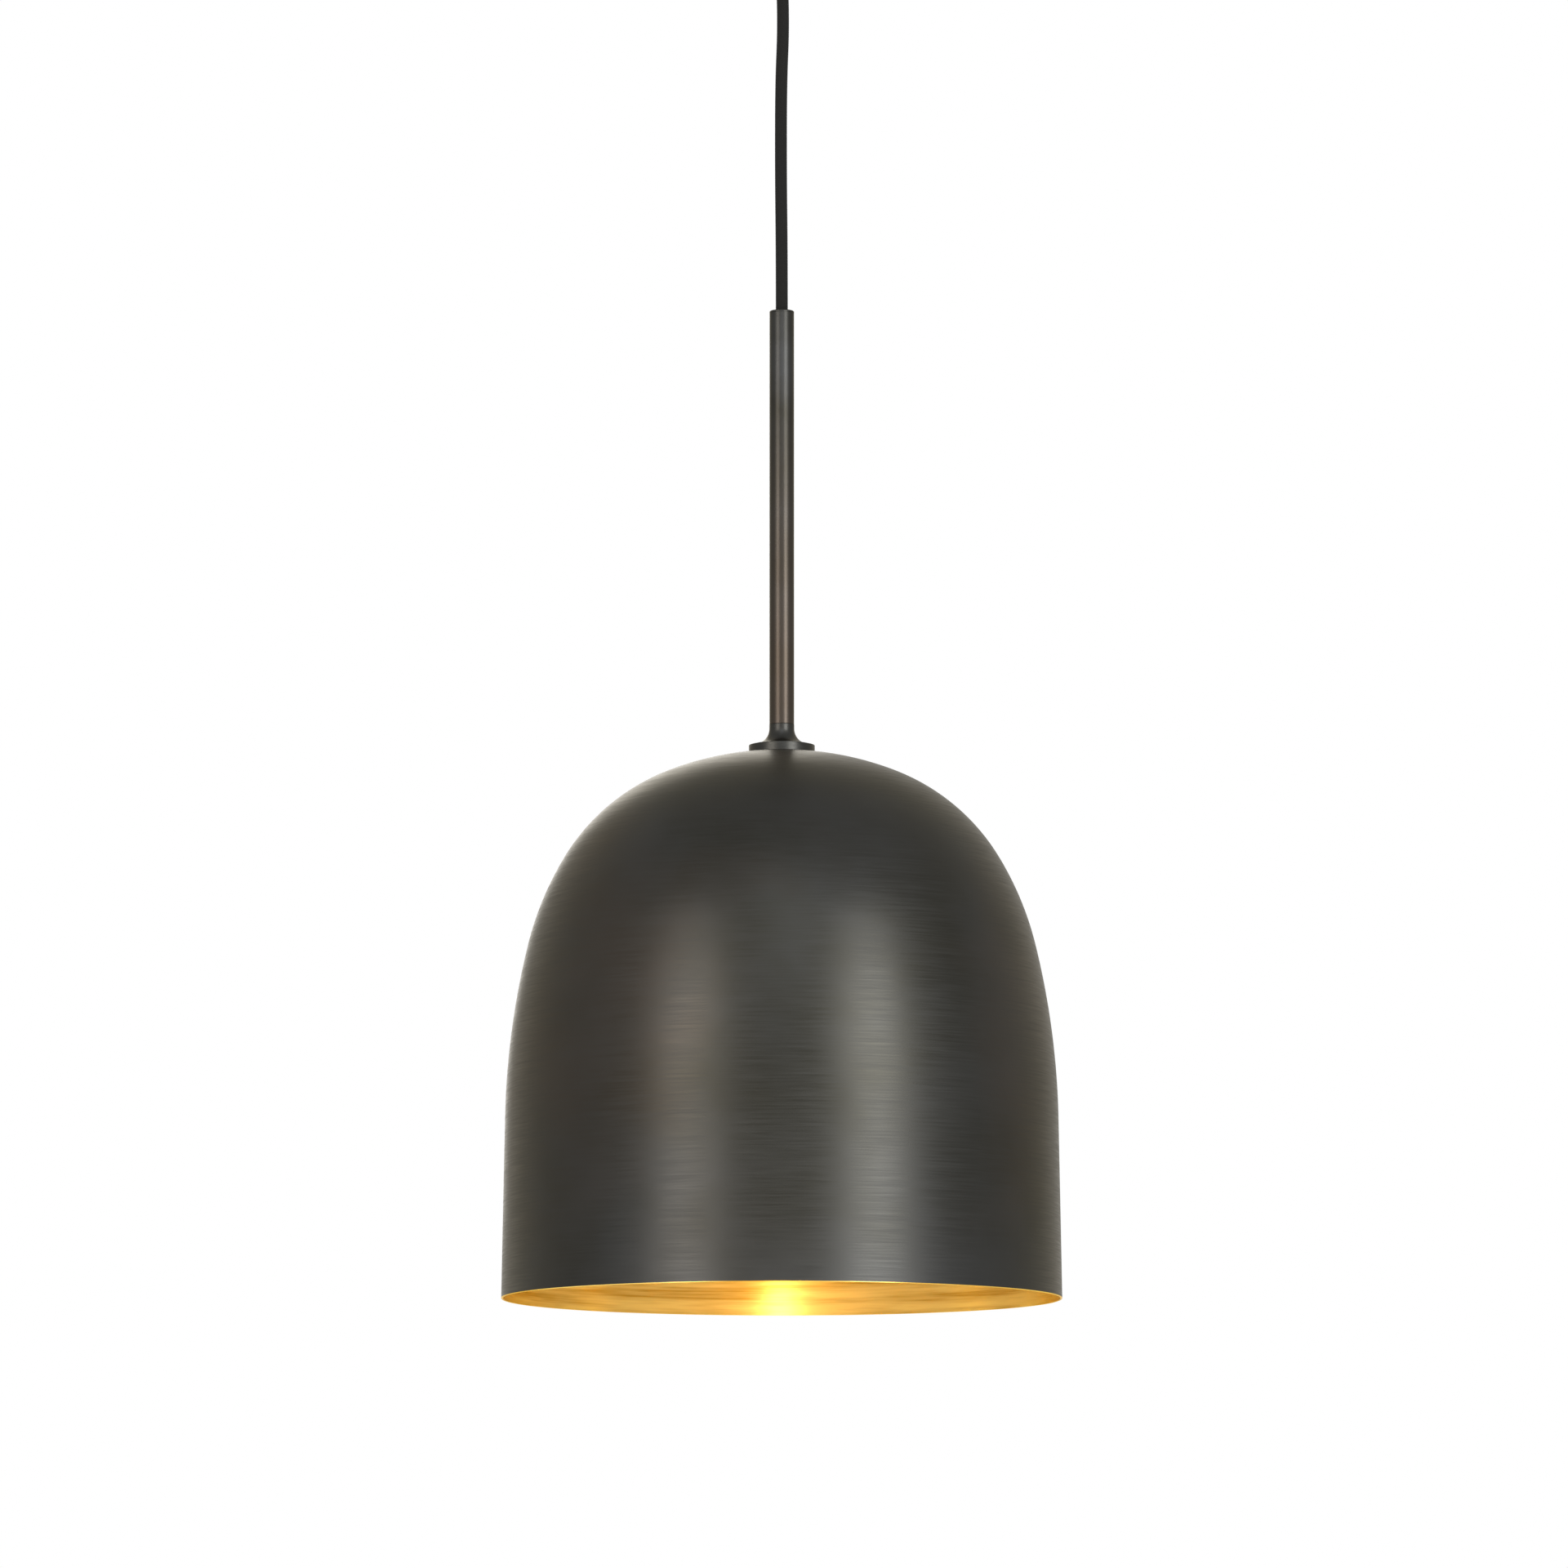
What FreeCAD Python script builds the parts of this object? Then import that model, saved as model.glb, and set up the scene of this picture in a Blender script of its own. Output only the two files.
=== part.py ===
import FreeCAD, Part
import math
import os
import re

import Sketcher

# A bell-shaped metal pendant light on a cloth-covered cord.
#
# Frame: +Z is up and the origin is the centre of the ceiling bracket's top face, where the
# bracket meets the ceiling, so the whole light lies at or below z = 0. The cord, the stem and
# the shade are turned about the Z axis, and the bracket's strap lies along X.
# Levels that end in _up are heights above the plane of the shade's rim.

ORIGIN = FreeCAD.Vector(0, 0, 0)
UP = FreeCAD.Vector(0, 0, 1)
SIDEWAYS = FreeCAD.Vector(1, 0, 0)
INWARD = FreeCAD.Vector(0, 1, 0)

SIZES = {
    # The whole light
    "rim_drop": 800.0,
    # Shade: a spun bell, its section four tangent arcs and a slightly tapered side
    "shade_height": 295.1,
    "rim_radius": 150.0,
    "shade_wall": 1.0,
    "crown_bend": 170.0,
    "crown_reach": 63.1,
    "shoulder_bend": 110.9,
    "shoulder_reach": 116.9,
    "flank_bend": 168.7,
    "flank_reach": 136.4,
    "side_bend": 428.1,
    "shade_hole": 5.2,
    # Cover disc on the shade's crown
    "cover_radius": 17.8,
    "cover_up": 298.5,
    "cover_plate": 3.3,
    "cover_skirt": 4.2,
    "cover_lip": 1.5,
    "cover_slope": 0.15,
    "cover_edge": 0.25,
    # Flared coupler between the stem and the cover disc
    "coupler_radius": 6.73,
    "coupler_height": 11.3,
    "flare_bend": 8.6,
    "flare_land": 0.5,
    "joint_chamfer": 0.2,
    # Stem tube and its cap
    "stem_radius": 6.66,
    "stem_length": 225.1,
    "stem_bore": 4.5,
    "socket_radius": 5.05,
    "top_socket": 16.0,
    "foot_socket": 12.0,
    "cap_flange": 1.1,
    "cap_edge": 0.5,
    "cap_spigot": 8.0,
    "spigot_radius": 5.0,
    "cord_hole": 3.4,
    "bush_height": 6.0,
    "bush_gap": 1.0,
    # Threaded nipple, washer and nut that clamp the shade
    "nipple_foot_up": 279.0,
    "nipple_length": 42.0,
    "nipple_radius": 5.0,
    "nipple_bore": 3.6,
    "washer_up": 291.95,
    "washer_radius": 14.0,
    "washer_thick": 1.5,
    "nut_flats": 14.0,
    "nut_thick": 3.5,
    # Cord and its conductors
    "cord_radius": 3.25,
    "core_radius": 1.1,
    "core_end_up": 277.5,
    # Lampholder
    "cap_foot_up": 262.0,
    "cap_radius": 19.5,
    "cap_wall": 1.0,
    "cap_side": 14.0,
    "cap_bend": 6.0,
    "boss_radius": 8.0,
    "boss_height": 6.2,
    "skirt_foot_up": 228.0,
    "skirt_height": 40.0,
    "skirt_radius": 20.5,
    "skirt_wall": 0.9,
    "skirt_waist": 1.6,
    "skirt_band": 2.0,
    "skirt_taper": 18.0,
    "insert_foot_up": 236.0,
    "insert_radius": 18.3,
    "insert_bore": 14.2,
    "insert_depth": 22.0,
    "insert_height": 32.0,
    "rivet_hole": 1.55,
    "rivet_radius": 1.5,
    "shell_foot_up": 230.0,
    "shell_radius": 14.0,
    "shell_inside": 13.35,
    "shell_height": 26.0,
    "shell_top": 0.5,
    "shell_mouth": 8.2,
    "contact_up": 252.7,
    "contact_radius": 4.5,
    "contact_thick": 0.6,
    "side_rivet": 10.4,
    "post_offset": 9.5,
    "post_length": 7.0,
    "post_width": 6.0,
    "post_height": 5.0,
    "post_hole": 1.5,
    "tab_width": 5.0,
    "tab_thick": 0.8,
    "small_screw": 1.3,
    "small_head": 2.4,
    "small_head_thick": 1.4,
    "pole_screw_length": 4.0,
    "pole_screw_foot": 3.5,
    "earth_offset": 10.8,
    # Bulb
    "bulb_radius": 30.0,
    "bulb_foot_up": 144.5,
    "neck_radius": 12.3,
    "neck_start": 83.5,
    "neck_end": 95.5,
    "globe_wall": 0.8,
    "bulb_cap_foot_up": 225.5,
    "bulb_cap_radius": 13.0,
    "bulb_cap_wall": 0.4,
    "bulb_cap_height": 20.5,
    "glass_foot": 9.5,
    "glass_height": 4.9,
    "tip_radius": 4.6,
    "tip_height": 1.6,
    "mount_radius": 4.0,
    "mount_height": 16.0,
    "mount_up": 221.0,
    "mount_gap": 0.3,
    "filament_up": 166.0,
    "filament_radius": 0.9,
    "filament_length": 38.0,
    "filament_circle": 9.0,
    # Ceiling bracket
    "strap_reach": 46.0,
    "strap_width": 20.0,
    "strap_thick": 2.0,
    "ear_height": 14.0,
    "slot_offset": 33.0,
    "slot_length": 12.0,
    "slot_width": 5.0,
    "ear_hole": 2.05,
    "ear_hole_drop": 8.0,
    # Terminal block under the strap
    "block_length": 24.0,
    "block_width": 16.0,
    "block_height": 11.0,
    "pole_offset": 7.0,
    "pole_drop": 7.5,
    "barrel_radius": 2.6,
    "barrel_length": 14.0,
    "barrel_bore": 1.5,
    "well_radius": 2.0,
    "well_offset": 4.5,
    "block_screw": 1.4,
    "block_screw_head": 2.6,
    "earth_screw": 1.9,
    "earth_head": 3.4,
    "earth_head_thick": 2.2,
    "earth_place": 20.0,
    "tag_radius": 3.6,
    "tag_thick": 0.8,
    # Canopy cup that hides the bracket
    "canopy_radius": 50.0,
    "canopy_height": 38.0,
    "canopy_wall": 1.0,
    "canopy_bend": 8.0,
    "canopy_hole": 5.3,
    "canopy_slot": 4.6,
    "canopy_slot_depth": 10.4,
    "side_screw": 2.0,
    "side_screw_length": 9.0,
    "side_screw_head": 4.0,
    "side_screw_head_thick": 4.5,
    "side_screw_gap": 0.2,
    # Cord grip in the canopy's foot
    "grip_radius": 8.0,
    "grip_height": 16.0,
    "grip_bore": 3.45,
    "grip_lip": 1.5,
    "grip_edge": 1.0,
    "grip_spigot": 8.0,
    "grip_nut_thick": 3.0,
    "grip_washer_thick": 1.0,
    "grip_washer_radius": 9.5,
    "clamp_screw": 1.9,
    "clamp_hole": 1.95,
    "clamp_drop": 8.0,
    "clamp_gap": 0.05,
    "clamp_sink": 0.3,
    "bend_gap": 0.15,
    # How far a cutter runs past what it cuts
    "overrun": 1.0,
}

# A hexagon's width across its flats over its corners' distance from its centre.
ACROSS_CORNERS = math.sqrt(3)
# Share of the shorter of its two runs that an arc of a cord or wire takes up.
ARC_SHARE = 0.45
# Largest difference, as a share, between a cord's volume and its section times its length.
VOLUME_MATCH = 0.01

doc = FreeCAD.newDocument("pendant_light")
sheet = doc.addObject("Spreadsheet::Sheet", "sizes")
parts = []


def fill_sheet():
    """Writes each driving size beside its name and gives the cell that name."""
    for row, (name, number) in enumerate(SIZES.items(), 1):
        sheet.set(f"A{row}", name)
        sheet.set(f"B{row}", str(number))
        sheet.setAlias(f"B{row}", name)
    doc.recompute()


def cells(formula):
    """A formula in size names, with each name turned into its cell on the sheet."""
    return re.sub(r"[a-z]\w*", lambda name: "sizes." + name.group(), formula)


def value(formula):
    """What a formula in size names comes to, in millimetres."""
    return float(sheet.evalExpression(cells(formula)))


def place(part, at):
    """Binds a part's place to three formulas."""
    for letter, formula in zip("xyz", at):
        if formula != "0":
            part.setExpression(f"Placement.Base.{letter}", cells(formula))


def finished(part):
    """Adds a sub-part to those that are written out."""
    parts.append(part)


# Sketches and turned bodies

def origin_plane(body, role):
    """One of a body's own origin planes."""
    return next(plane for plane in body.Origin.OriginFeatures if plane.Role == role)


def new_sketch(body, name, role):
    """A sketch on one of the body's origin planes."""
    sketch = body.newObject("Sketcher::SketchObject", name)
    sketch.AttachmentSupport = [(origin_plane(body, role), "")]
    sketch.MapMode = "FlatFace"
    return sketch


def fix_point(sketch, geometry, position, corner):
    """Holds a point of a sketch at two formulas, on an axis where one of them is 0."""
    for direction, axis, formula in (("DistanceX", -2, corner[0]), ("DistanceY", -1, corner[1])):
        if formula == "0":
            sketch.addConstraint(Sketcher.Constraint("PointOnObject", geometry, position, axis))
            continue
        held = Sketcher.Constraint(direction, -1, 1, geometry, position, value(formula))
        number = sketch.addConstraint(held)
        sketch.setExpression(f"Constraints[{number}]", cells(formula))


def arc_middle(start, end, radius, side):
    """The middle of the shorter arc from start to end, with its centre left or right of the way."""
    chord = end - start
    left = FreeCAD.Vector(-chord.y, chord.x, 0).normalize()
    to_centre = left if side == "left" else -left
    rise = radius - math.sqrt(radius ** 2 - (chord.Length / 2) ** 2)
    return start + chord / 2 - to_centre * rise


def draw_outline(sketch, corners):
    """A closed outline through the corners.

    A corner is two formulas. With two more, a radius and a side, the stretch to the next
    corner is an arc of that radius, its centre on that side of the way.
    """
    points = [FreeCAD.Vector(value(corner[0]), value(corner[1]), 0) for corner in corners]
    starts = []
    for number, corner in enumerate(corners):
        start = points[number]
        end = points[(number + 1) % len(corners)]
        if len(corner) == 2:
            geometry = sketch.addGeometry(Part.LineSegment(start, end), False)
        else:
            middle = arc_middle(start, end, value(corner[2]), corner[3])
            geometry = sketch.addGeometry(Part.Arc(start, middle, end), False)
        first = sketch.getPoint(geometry, 1)
        forward = (first - start).Length < (first - end).Length
        starts.append(1 if forward else 2)
    for number, corner in enumerate(corners):
        after = (number + 1) % len(corners)
        meeting = Sketcher.Constraint("Coincident", number, 3 - starts[number], after, starts[after])
        sketch.addConstraint(meeting)
        fix_point(sketch, number, starts[number], corner)
        if len(corner) > 2:
            bend = Sketcher.Constraint("Radius", number, value(corner[2]))
            constraint = sketch.addConstraint(bend)
            sketch.setExpression(f"Constraints[{constraint}]", cells(corner[2]))


def spin(body, sketch, name, kind="Revolution"):
    """Turns a sketch right round the body's vertical axis, as material or as a groove."""
    turn = body.newObject("PartDesign::" + kind, name)
    turn.Profile = sketch
    turn.ReferenceAxis = (sketch, ["V_Axis"])
    turn.Angle = 360
    body.Tip = turn


def shell_of_revolution(label, draw_section, wall):
    """A body spun from one section and hollowed by the same section drawn in by its wall."""
    body = doc.addObject("PartDesign::Body", label)
    outside = new_sketch(body, label + "_outside", "XZ_Plane")
    draw_section(outside, "0")
    spin(body, outside, label + "_spinning")
    doc.recompute()
    solid = body.Shape.Volume
    inside = new_sketch(body, label + "_inside", "XZ_Plane")
    draw_section(inside, wall)
    spin(body, inside, label + "_hollow", "Groove")
    doc.recompute()
    if body.Shape.Volume > solid / 2:
        raise RuntimeError(f"{label} is not hollow")
    return body


def turned(label, level, corners):
    """A turned piece: its half section, as radius and height above its level, spun about Z."""
    body = doc.addObject("PartDesign::Body", label)
    sketch = new_sketch(body, label + "_section", "XZ_Plane")
    draw_outline(sketch, corners)
    spin(body, sketch, label + "_turning")
    place(body, ("0", "0", level))
    return body


def ring(label, level, inside, outside, height):
    """A plain turned ring."""
    corners = [(inside, "0"), (outside, "0"), (outside, height), (inside, height)]
    return turned(label, level, corners)


# Primitives and booleans

def primitive(kind, name, at=("0", "0", "0"), axis=UP, **formulas):
    """A Part primitive with its sizes and place bound to formulas, its height along axis."""
    part = doc.addObject("Part::" + kind, name)
    for size, formula in formulas.items():
        part.setExpression(size, cells(formula))
    part.Placement = FreeCAD.Placement(ORIGIN, FreeCAD.Rotation(UP, axis))
    place(part, at)
    return part


def round_bar(name, radius, height, at, axis=UP):
    """A cylinder from a point along an axis."""
    return primitive("Cylinder", name, at, axis, Radius=radius, Height=height)


def block(name, length, width, height, at):
    """A box with its lowest corner at a point."""
    return primitive("Box", name, at, Length=length, Width=width, Height=height)


def joined(label, pieces):
    """One solid from pieces that meet."""
    union = doc.addObject("Part::MultiFuse", label)
    union.Shapes = pieces
    return union


def grouped(label, pieces):
    """Separate solids kept as one sub-part."""
    group = doc.addObject("Part::Compound", label)
    group.Links = pieces
    return group


def hollowed(label, base, tools):
    """A piece with the tools cut out of it."""
    cut = doc.addObject("Part::Cut", label)
    cut.Base = base
    cut.Tool = tools[0] if len(tools) == 1 else grouped(label + "_cutters", tools)
    return cut


def hex_nut(label, level, thickness):
    """A hexagon nut for the ten millimetre pipe thread."""
    outside = primitive("Prism", label + "_blank", ("0", "0", level),
                        Circumradius=f"nut_flats / {ACROSS_CORNERS:.7f}", Height=thickness)
    outside.Polygon = 6
    thread = round_bar(label + "_thread", "socket_radius", thickness, ("0", "0", level))
    return hollowed(label, outside, [thread])


def screw(name, radius, length, head, head_thick, at, axis):
    """A round-headed screw: its head's outer face at a point, its shank along the axis."""
    top = round_bar(name + "_head", head, head_thick, at, axis)
    shank = round_bar(name + "_shank", radius, f"{length} + {head_thick}", at, axis)
    return joined(name, [top, shank])


# Cords and wires

def rounded_path(points):
    """Straight runs joined by tangent arcs, each as large as its two runs allow."""
    edges = []
    radii = []
    here = points[0]
    for before, corner, after in zip(points, points[1:], points[2:]):
        back = before - corner
        ahead = after - corner
        set_back = ARC_SHARE * min(back.Length, ahead.Length)
        half_turn = (math.pi - back.getAngle(ahead)) / 2
        radius = set_back / math.tan(half_turn)
        back.normalize()
        ahead.normalize()
        first = corner + back * set_back
        last = corner + ahead * set_back
        inner = (back + ahead).normalize()
        middle = corner + inner * (radius / math.cos(half_turn) - radius)
        edges.append(Part.LineSegment(here, first).toShape())
        edges.append(Part.Arc(first, middle, last).toShape())
        radii.append(radius)
        here = last
    edges.append(Part.LineSegment(here, points[-1]).toShape())
    return Part.Wire(edges), radii


def sweep(label, route, radius):
    """A round solid along a route, checked against its section times its length."""
    points = [FreeCAD.Vector(*point) for point in route]
    path, radii = rounded_path(points)
    section = Part.Wire(Part.makeCircle(radius, points[0], points[1] - points[0]))
    tube = path.makePipeShell([section], True, False)
    expected = math.pi * radius ** 2 * path.Length
    if abs(tube.Volume / expected - 1) > VOLUME_MATCH:
        raise RuntimeError(f"{label}: volume {tube.Volume} and not {expected}")
    print(f"{label}: length {path.Length:.1f} mm, radii", [round(bend, 1) for bend in radii])
    return tube


def shaped(label, shape):
    """A sub-part whose shape is worked out above."""
    feature = doc.addObject("Part::Feature", label)
    feature.Shape = shape
    feature.Placement = FreeCAD.Placement()
    return feature


# Shade and its fixings

def shade_formulas(inset):
    """The bends and reaches of the shade's four arcs, drawn in by an inset square to the wall."""
    names = ("crown", "shoulder", "flank", "side")
    bends = [f"({name}_bend - {inset})" for name in names]
    slope = "crown_reach / crown_bend"
    reaches = [f"(crown_reach - {inset} * ({slope}))"]
    for before, name in zip(names, names[1:3]):
        slope += f" + ({name}_reach - {before}_reach) / {name}_bend"
        reaches.append(f"({name}_reach - {inset} * ({slope}))")
    return bends, reaches


def shade_chain(inset):
    """The section's arcs from the crown down: the centre and lower end of each."""
    bend_formulas, reach_formulas = shade_formulas(inset)
    bends = [value(formula) for formula in bend_formulas]
    reaches = [value(formula) for formula in reach_formulas]
    centre = FreeCAD.Vector(0, value("shade_height - crown_bend"), 0)
    chain = []
    for number, reach in enumerate(reaches):
        bend = bends[number]
        rise = math.sqrt(bend ** 2 - (reach - centre.x) ** 2)
        end = FreeCAD.Vector(reach, centre.y + rise, 0)
        chain.append((centre, end))
        centre = end + (centre - end) * (bends[number + 1] / bend)
    rim = FreeCAD.Vector(value(f"rim_radius - {inset}"), 0, 0)
    to_rim = rim - centre
    angle = math.atan2(to_rim.y, to_rim.x) + math.acos(bends[-1] / to_rim.Length)
    end = centre + FreeCAD.Vector(math.cos(angle), math.sin(angle), 0) * bends[-1]
    chain.append((centre, end))
    return chain


def draw_shade_section(sketch, inset):
    """The solid bell's half section: four arcs from the crown down, the side, foot and axis."""
    bends, reaches = shade_formulas(inset)
    top = FreeCAD.Vector(0, value(f"shade_height - {inset}"), 0)
    upper = top
    for centre, lower in shade_chain(inset):
        bend = (lower - centre).Length
        first = math.atan2(lower.y - centre.y, lower.x - centre.x)
        last = math.atan2(upper.y - centre.y, upper.x - centre.x)
        circle = Part.Circle(centre, UP, bend)
        sketch.addGeometry(Part.ArcOfCircle(circle, first, last), False)
        upper = lower
    rim = FreeCAD.Vector(value(f"rim_radius - {inset}"), 0, 0)
    sketch.addGeometry(Part.LineSegment(upper, rim), False)
    sketch.addGeometry(Part.LineSegment(rim, ORIGIN), False)
    sketch.addGeometry(Part.LineSegment(ORIGIN, top), False)
    side, foot, axis = 4, 5, 6
    for number in range(3):
        sketch.addConstraint(Sketcher.Constraint("Tangent", number, 1, number + 1, 2))
    sketch.addConstraint(Sketcher.Constraint("Tangent", 3, 1, side, 1))
    sketch.addConstraint(Sketcher.Constraint("Coincident", side, 2, foot, 1))
    sketch.addConstraint(Sketcher.Constraint("Coincident", foot, 2, axis, 1))
    sketch.addConstraint(Sketcher.Constraint("Coincident", axis, 2, 0, 2))
    sketch.addConstraint(Sketcher.Constraint("PointOnObject", 0, 3, -2))
    fix_point(sketch, side, 2, (f"rim_radius - {inset}", "0"))
    fix_point(sketch, foot, 2, ("0", "0"))
    fix_point(sketch, axis, 2, ("0", f"shade_height - {inset}"))
    for number, formula in enumerate(reaches):
        held = Sketcher.Constraint("DistanceX", -1, 1, number, 1, value(formula))
        constraint = sketch.addConstraint(held)
        sketch.setExpression(f"Constraints[{constraint}]", cells(formula))
    for number, formula in enumerate(bends):
        constraint = sketch.addConstraint(Sketcher.Constraint("Radius", number, value(formula)))
        sketch.setExpression(f"Constraints[{constraint}]", cells(formula))


def through_pocket(body, name, draw, role="XY_Plane", upward=True):
    """A pocket right through the body, from a sketch on one of its origin planes."""
    before = body.Shape.Volume
    sketch = new_sketch(body, name + "_outline", role)
    draw(sketch)
    pocket = body.newObject("PartDesign::Pocket", name)
    pocket.Profile = sketch
    pocket.Type = "ThroughAll"
    pocket.Reversed = upward
    body.Tip = pocket
    doc.recompute()
    if body.Shape.Volume >= before:
        raise RuntimeError(f"{name} cuts nothing")


def draw_circle(sketch, radius, centre=("0", "0")):
    """A circle of a bound radius round a bound point."""
    middle = FreeCAD.Vector(value(centre[0]), value(centre[1]), 0)
    number = sketch.addGeometry(Part.Circle(middle, UP, value(radius)), False)
    fix_point(sketch, number, 3, centre)
    constraint = sketch.addConstraint(Sketcher.Constraint("Radius", number, value(radius)))
    sketch.setExpression(f"Constraints[{constraint}]", cells(radius))


def build_shade():
    """The spun bell, open at its foot and pierced at its crown for the nipple."""
    body = shell_of_revolution("shade", draw_shade_section, "shade_wall")
    through_pocket(body, "shade_piercing", lambda outline: draw_circle(outline, "shade_hole"))
    place(body, ("0", "0", "-rim_drop"))
    finished(body)


def build_shade_fixings():
    """The cover disc above the shade's crown, and the washer and nut below it."""
    finished(turned("cover_disc", "cover_up - cover_skirt - rim_drop", [
        ("shade_hole", "cover_skirt - cover_plate"),
        ("cover_radius - cover_lip", "cover_skirt - cover_plate"),
        ("cover_radius - cover_lip", "cover_slope"),
        ("cover_radius", "0"),
        ("cover_radius", "cover_skirt - cover_edge"),
        ("cover_radius - cover_edge", "cover_skirt"),
        ("shade_hole", "cover_skirt"),
    ]))
    finished(ring("shade_washer", "washer_up - rim_drop", "shade_hole", "washer_radius",
                  "washer_thick"))
    finished(hex_nut("shade_nut", "washer_up - nut_thick - rim_drop", "nut_thick"))


# Stem

def build_stem():
    """The tube with its flared coupler, cap, nipple and the bush that holds the cord."""
    finished(turned("flared_coupler", "cover_up - rim_drop", [
        ("socket_radius", "0"),
        ("coupler_radius + flare_bend", "0"),
        ("coupler_radius + flare_bend", "flare_land", "flare_bend", "right"),
        ("coupler_radius", "flare_land + flare_bend"),
        ("coupler_radius", "coupler_height - joint_chamfer"),
        ("coupler_radius - joint_chamfer", "coupler_height"),
        ("socket_radius", "coupler_height"),
    ]))
    finished(turned("stem_tube", "cover_up + coupler_height - rim_drop", [
        ("socket_radius", "0"),
        ("stem_radius - joint_chamfer", "0"),
        ("stem_radius", "joint_chamfer"),
        ("stem_radius", "stem_length - joint_chamfer"),
        ("stem_radius - joint_chamfer", "stem_length"),
        ("socket_radius", "stem_length"),
        ("socket_radius", "stem_length - top_socket"),
        ("stem_bore", "stem_length - top_socket"),
        ("stem_bore", "foot_socket"),
        ("socket_radius", "foot_socket"),
    ]))
    finished(turned("stem_cap", "cover_up + coupler_height + stem_length - cap_spigot - rim_drop", [
        ("cord_hole", "0"),
        ("spigot_radius", "0"),
        ("spigot_radius", "cap_spigot"),
        ("stem_radius", "cap_spigot"),
        ("stem_radius", "cap_spigot + cap_flange - cap_edge", "cap_edge", "left"),
        ("stem_radius - cap_edge", "cap_spigot + cap_flange"),
        ("cord_hole", "cap_spigot + cap_flange"),
    ]))
    bush_level = "cover_up + coupler_height + stem_length - cap_spigot - bush_gap - bush_height"
    finished(ring("cord_lock_bush", bush_level + " - rim_drop", "cord_hole", "spigot_radius",
                  "bush_height"))
    finished(ring("threaded_nipple", "nipple_foot_up - rim_drop", "nipple_bore", "nipple_radius",
                  "nipple_length"))


# Lampholder

def build_holder_shells():
    """The lampholder's metal cap and skirt, its ceramic insert and its screw shell."""
    finished(turned("holder_cap", "cap_foot_up - rim_drop", [
        ("cap_radius - cap_wall", "0"),
        ("cap_radius", "0"),
        ("cap_radius", "cap_side", "cap_bend", "left"),
        ("cap_radius - cap_bend", "cap_side + cap_bend"),
        ("boss_radius", "cap_side + cap_bend"),
        ("boss_radius", "cap_side + cap_bend + boss_height"),
        ("socket_radius", "cap_side + cap_bend + boss_height"),
        ("socket_radius", "cap_side + cap_bend - cap_wall"),
        ("cap_radius - cap_bend", "cap_side + cap_bend - cap_wall", "cap_bend - cap_wall", "right"),
        ("cap_radius - cap_wall", "cap_side"),
    ]))
    finished(turned("holder_skirt", "skirt_foot_up - rim_drop", [
        ("skirt_radius - skirt_waist - skirt_wall", "0"),
        ("skirt_radius - skirt_waist", "0"),
        ("skirt_radius - skirt_waist", "skirt_band"),
        ("skirt_radius", "skirt_band + skirt_taper"),
        ("skirt_radius", "skirt_height"),
        ("skirt_radius - skirt_wall", "skirt_height"),
        ("skirt_radius - skirt_wall", "skirt_band + skirt_taper"),
        ("skirt_radius - skirt_waist - skirt_wall", "skirt_band"),
    ]))
    blank = turned("insert_blank", "insert_foot_up - rim_drop", [
        ("insert_bore", "0"),
        ("insert_radius", "0"),
        ("insert_radius", "insert_height"),
        ("0", "insert_height"),
        ("0", "insert_depth"),
        ("insert_bore", "insert_depth"),
    ])
    holes = [round_bar("rivet_hole_" + name, "rivet_hole", "insert_height",
                       (offset, "0", "insert_foot_up - rim_drop"))
             for name, offset in (("centre", "0"), ("side", "side_rivet"))]
    finished(hollowed("holder_insert", blank, holes))
    finished(turned("holder_screw_shell", "shell_foot_up - rim_drop", [
        ("shell_inside", "0"),
        ("shell_radius", "0"),
        ("shell_radius", "shell_height"),
        ("shell_mouth", "shell_height"),
        ("shell_mouth", "shell_height - shell_top"),
        ("shell_inside", "shell_height - shell_top"),
    ]))


def build_holder_contacts():
    """The centre and side contacts, riveted through the insert to tabs under the terminals."""
    top = "insert_foot_up + insert_height - rim_drop"
    button = round_bar("centre_button", "contact_radius", "contact_thick",
                       ("0", "0", "contact_up - rim_drop"))
    rivet = round_bar("centre_rivet", "rivet_radius",
                      "insert_foot_up + insert_height + tab_thick - contact_up",
                      ("0", "0", "contact_up - rim_drop"))
    tab = block("centre_tab", "post_offset + post_length / 2", "tab_width", "tab_thick",
                ("-post_offset - post_length / 2", "-tab_width / 2", top))
    finished(joined("holder_centre_contact", [button, rivet, tab]))
    side_rivet = round_bar("side_rivet_shank", "rivet_radius",
                           "insert_foot_up + insert_height + tab_thick - shell_foot_up - shell_height",
                           ("side_rivet", "0", "shell_foot_up + shell_height - rim_drop"))
    side_tab = block("side_tab", "post_length", "tab_width", "tab_thick",
                     ("post_offset - post_length / 2", "-tab_width / 2", top))
    finished(joined("holder_side_contact", [side_rivet, side_tab]))


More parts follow.
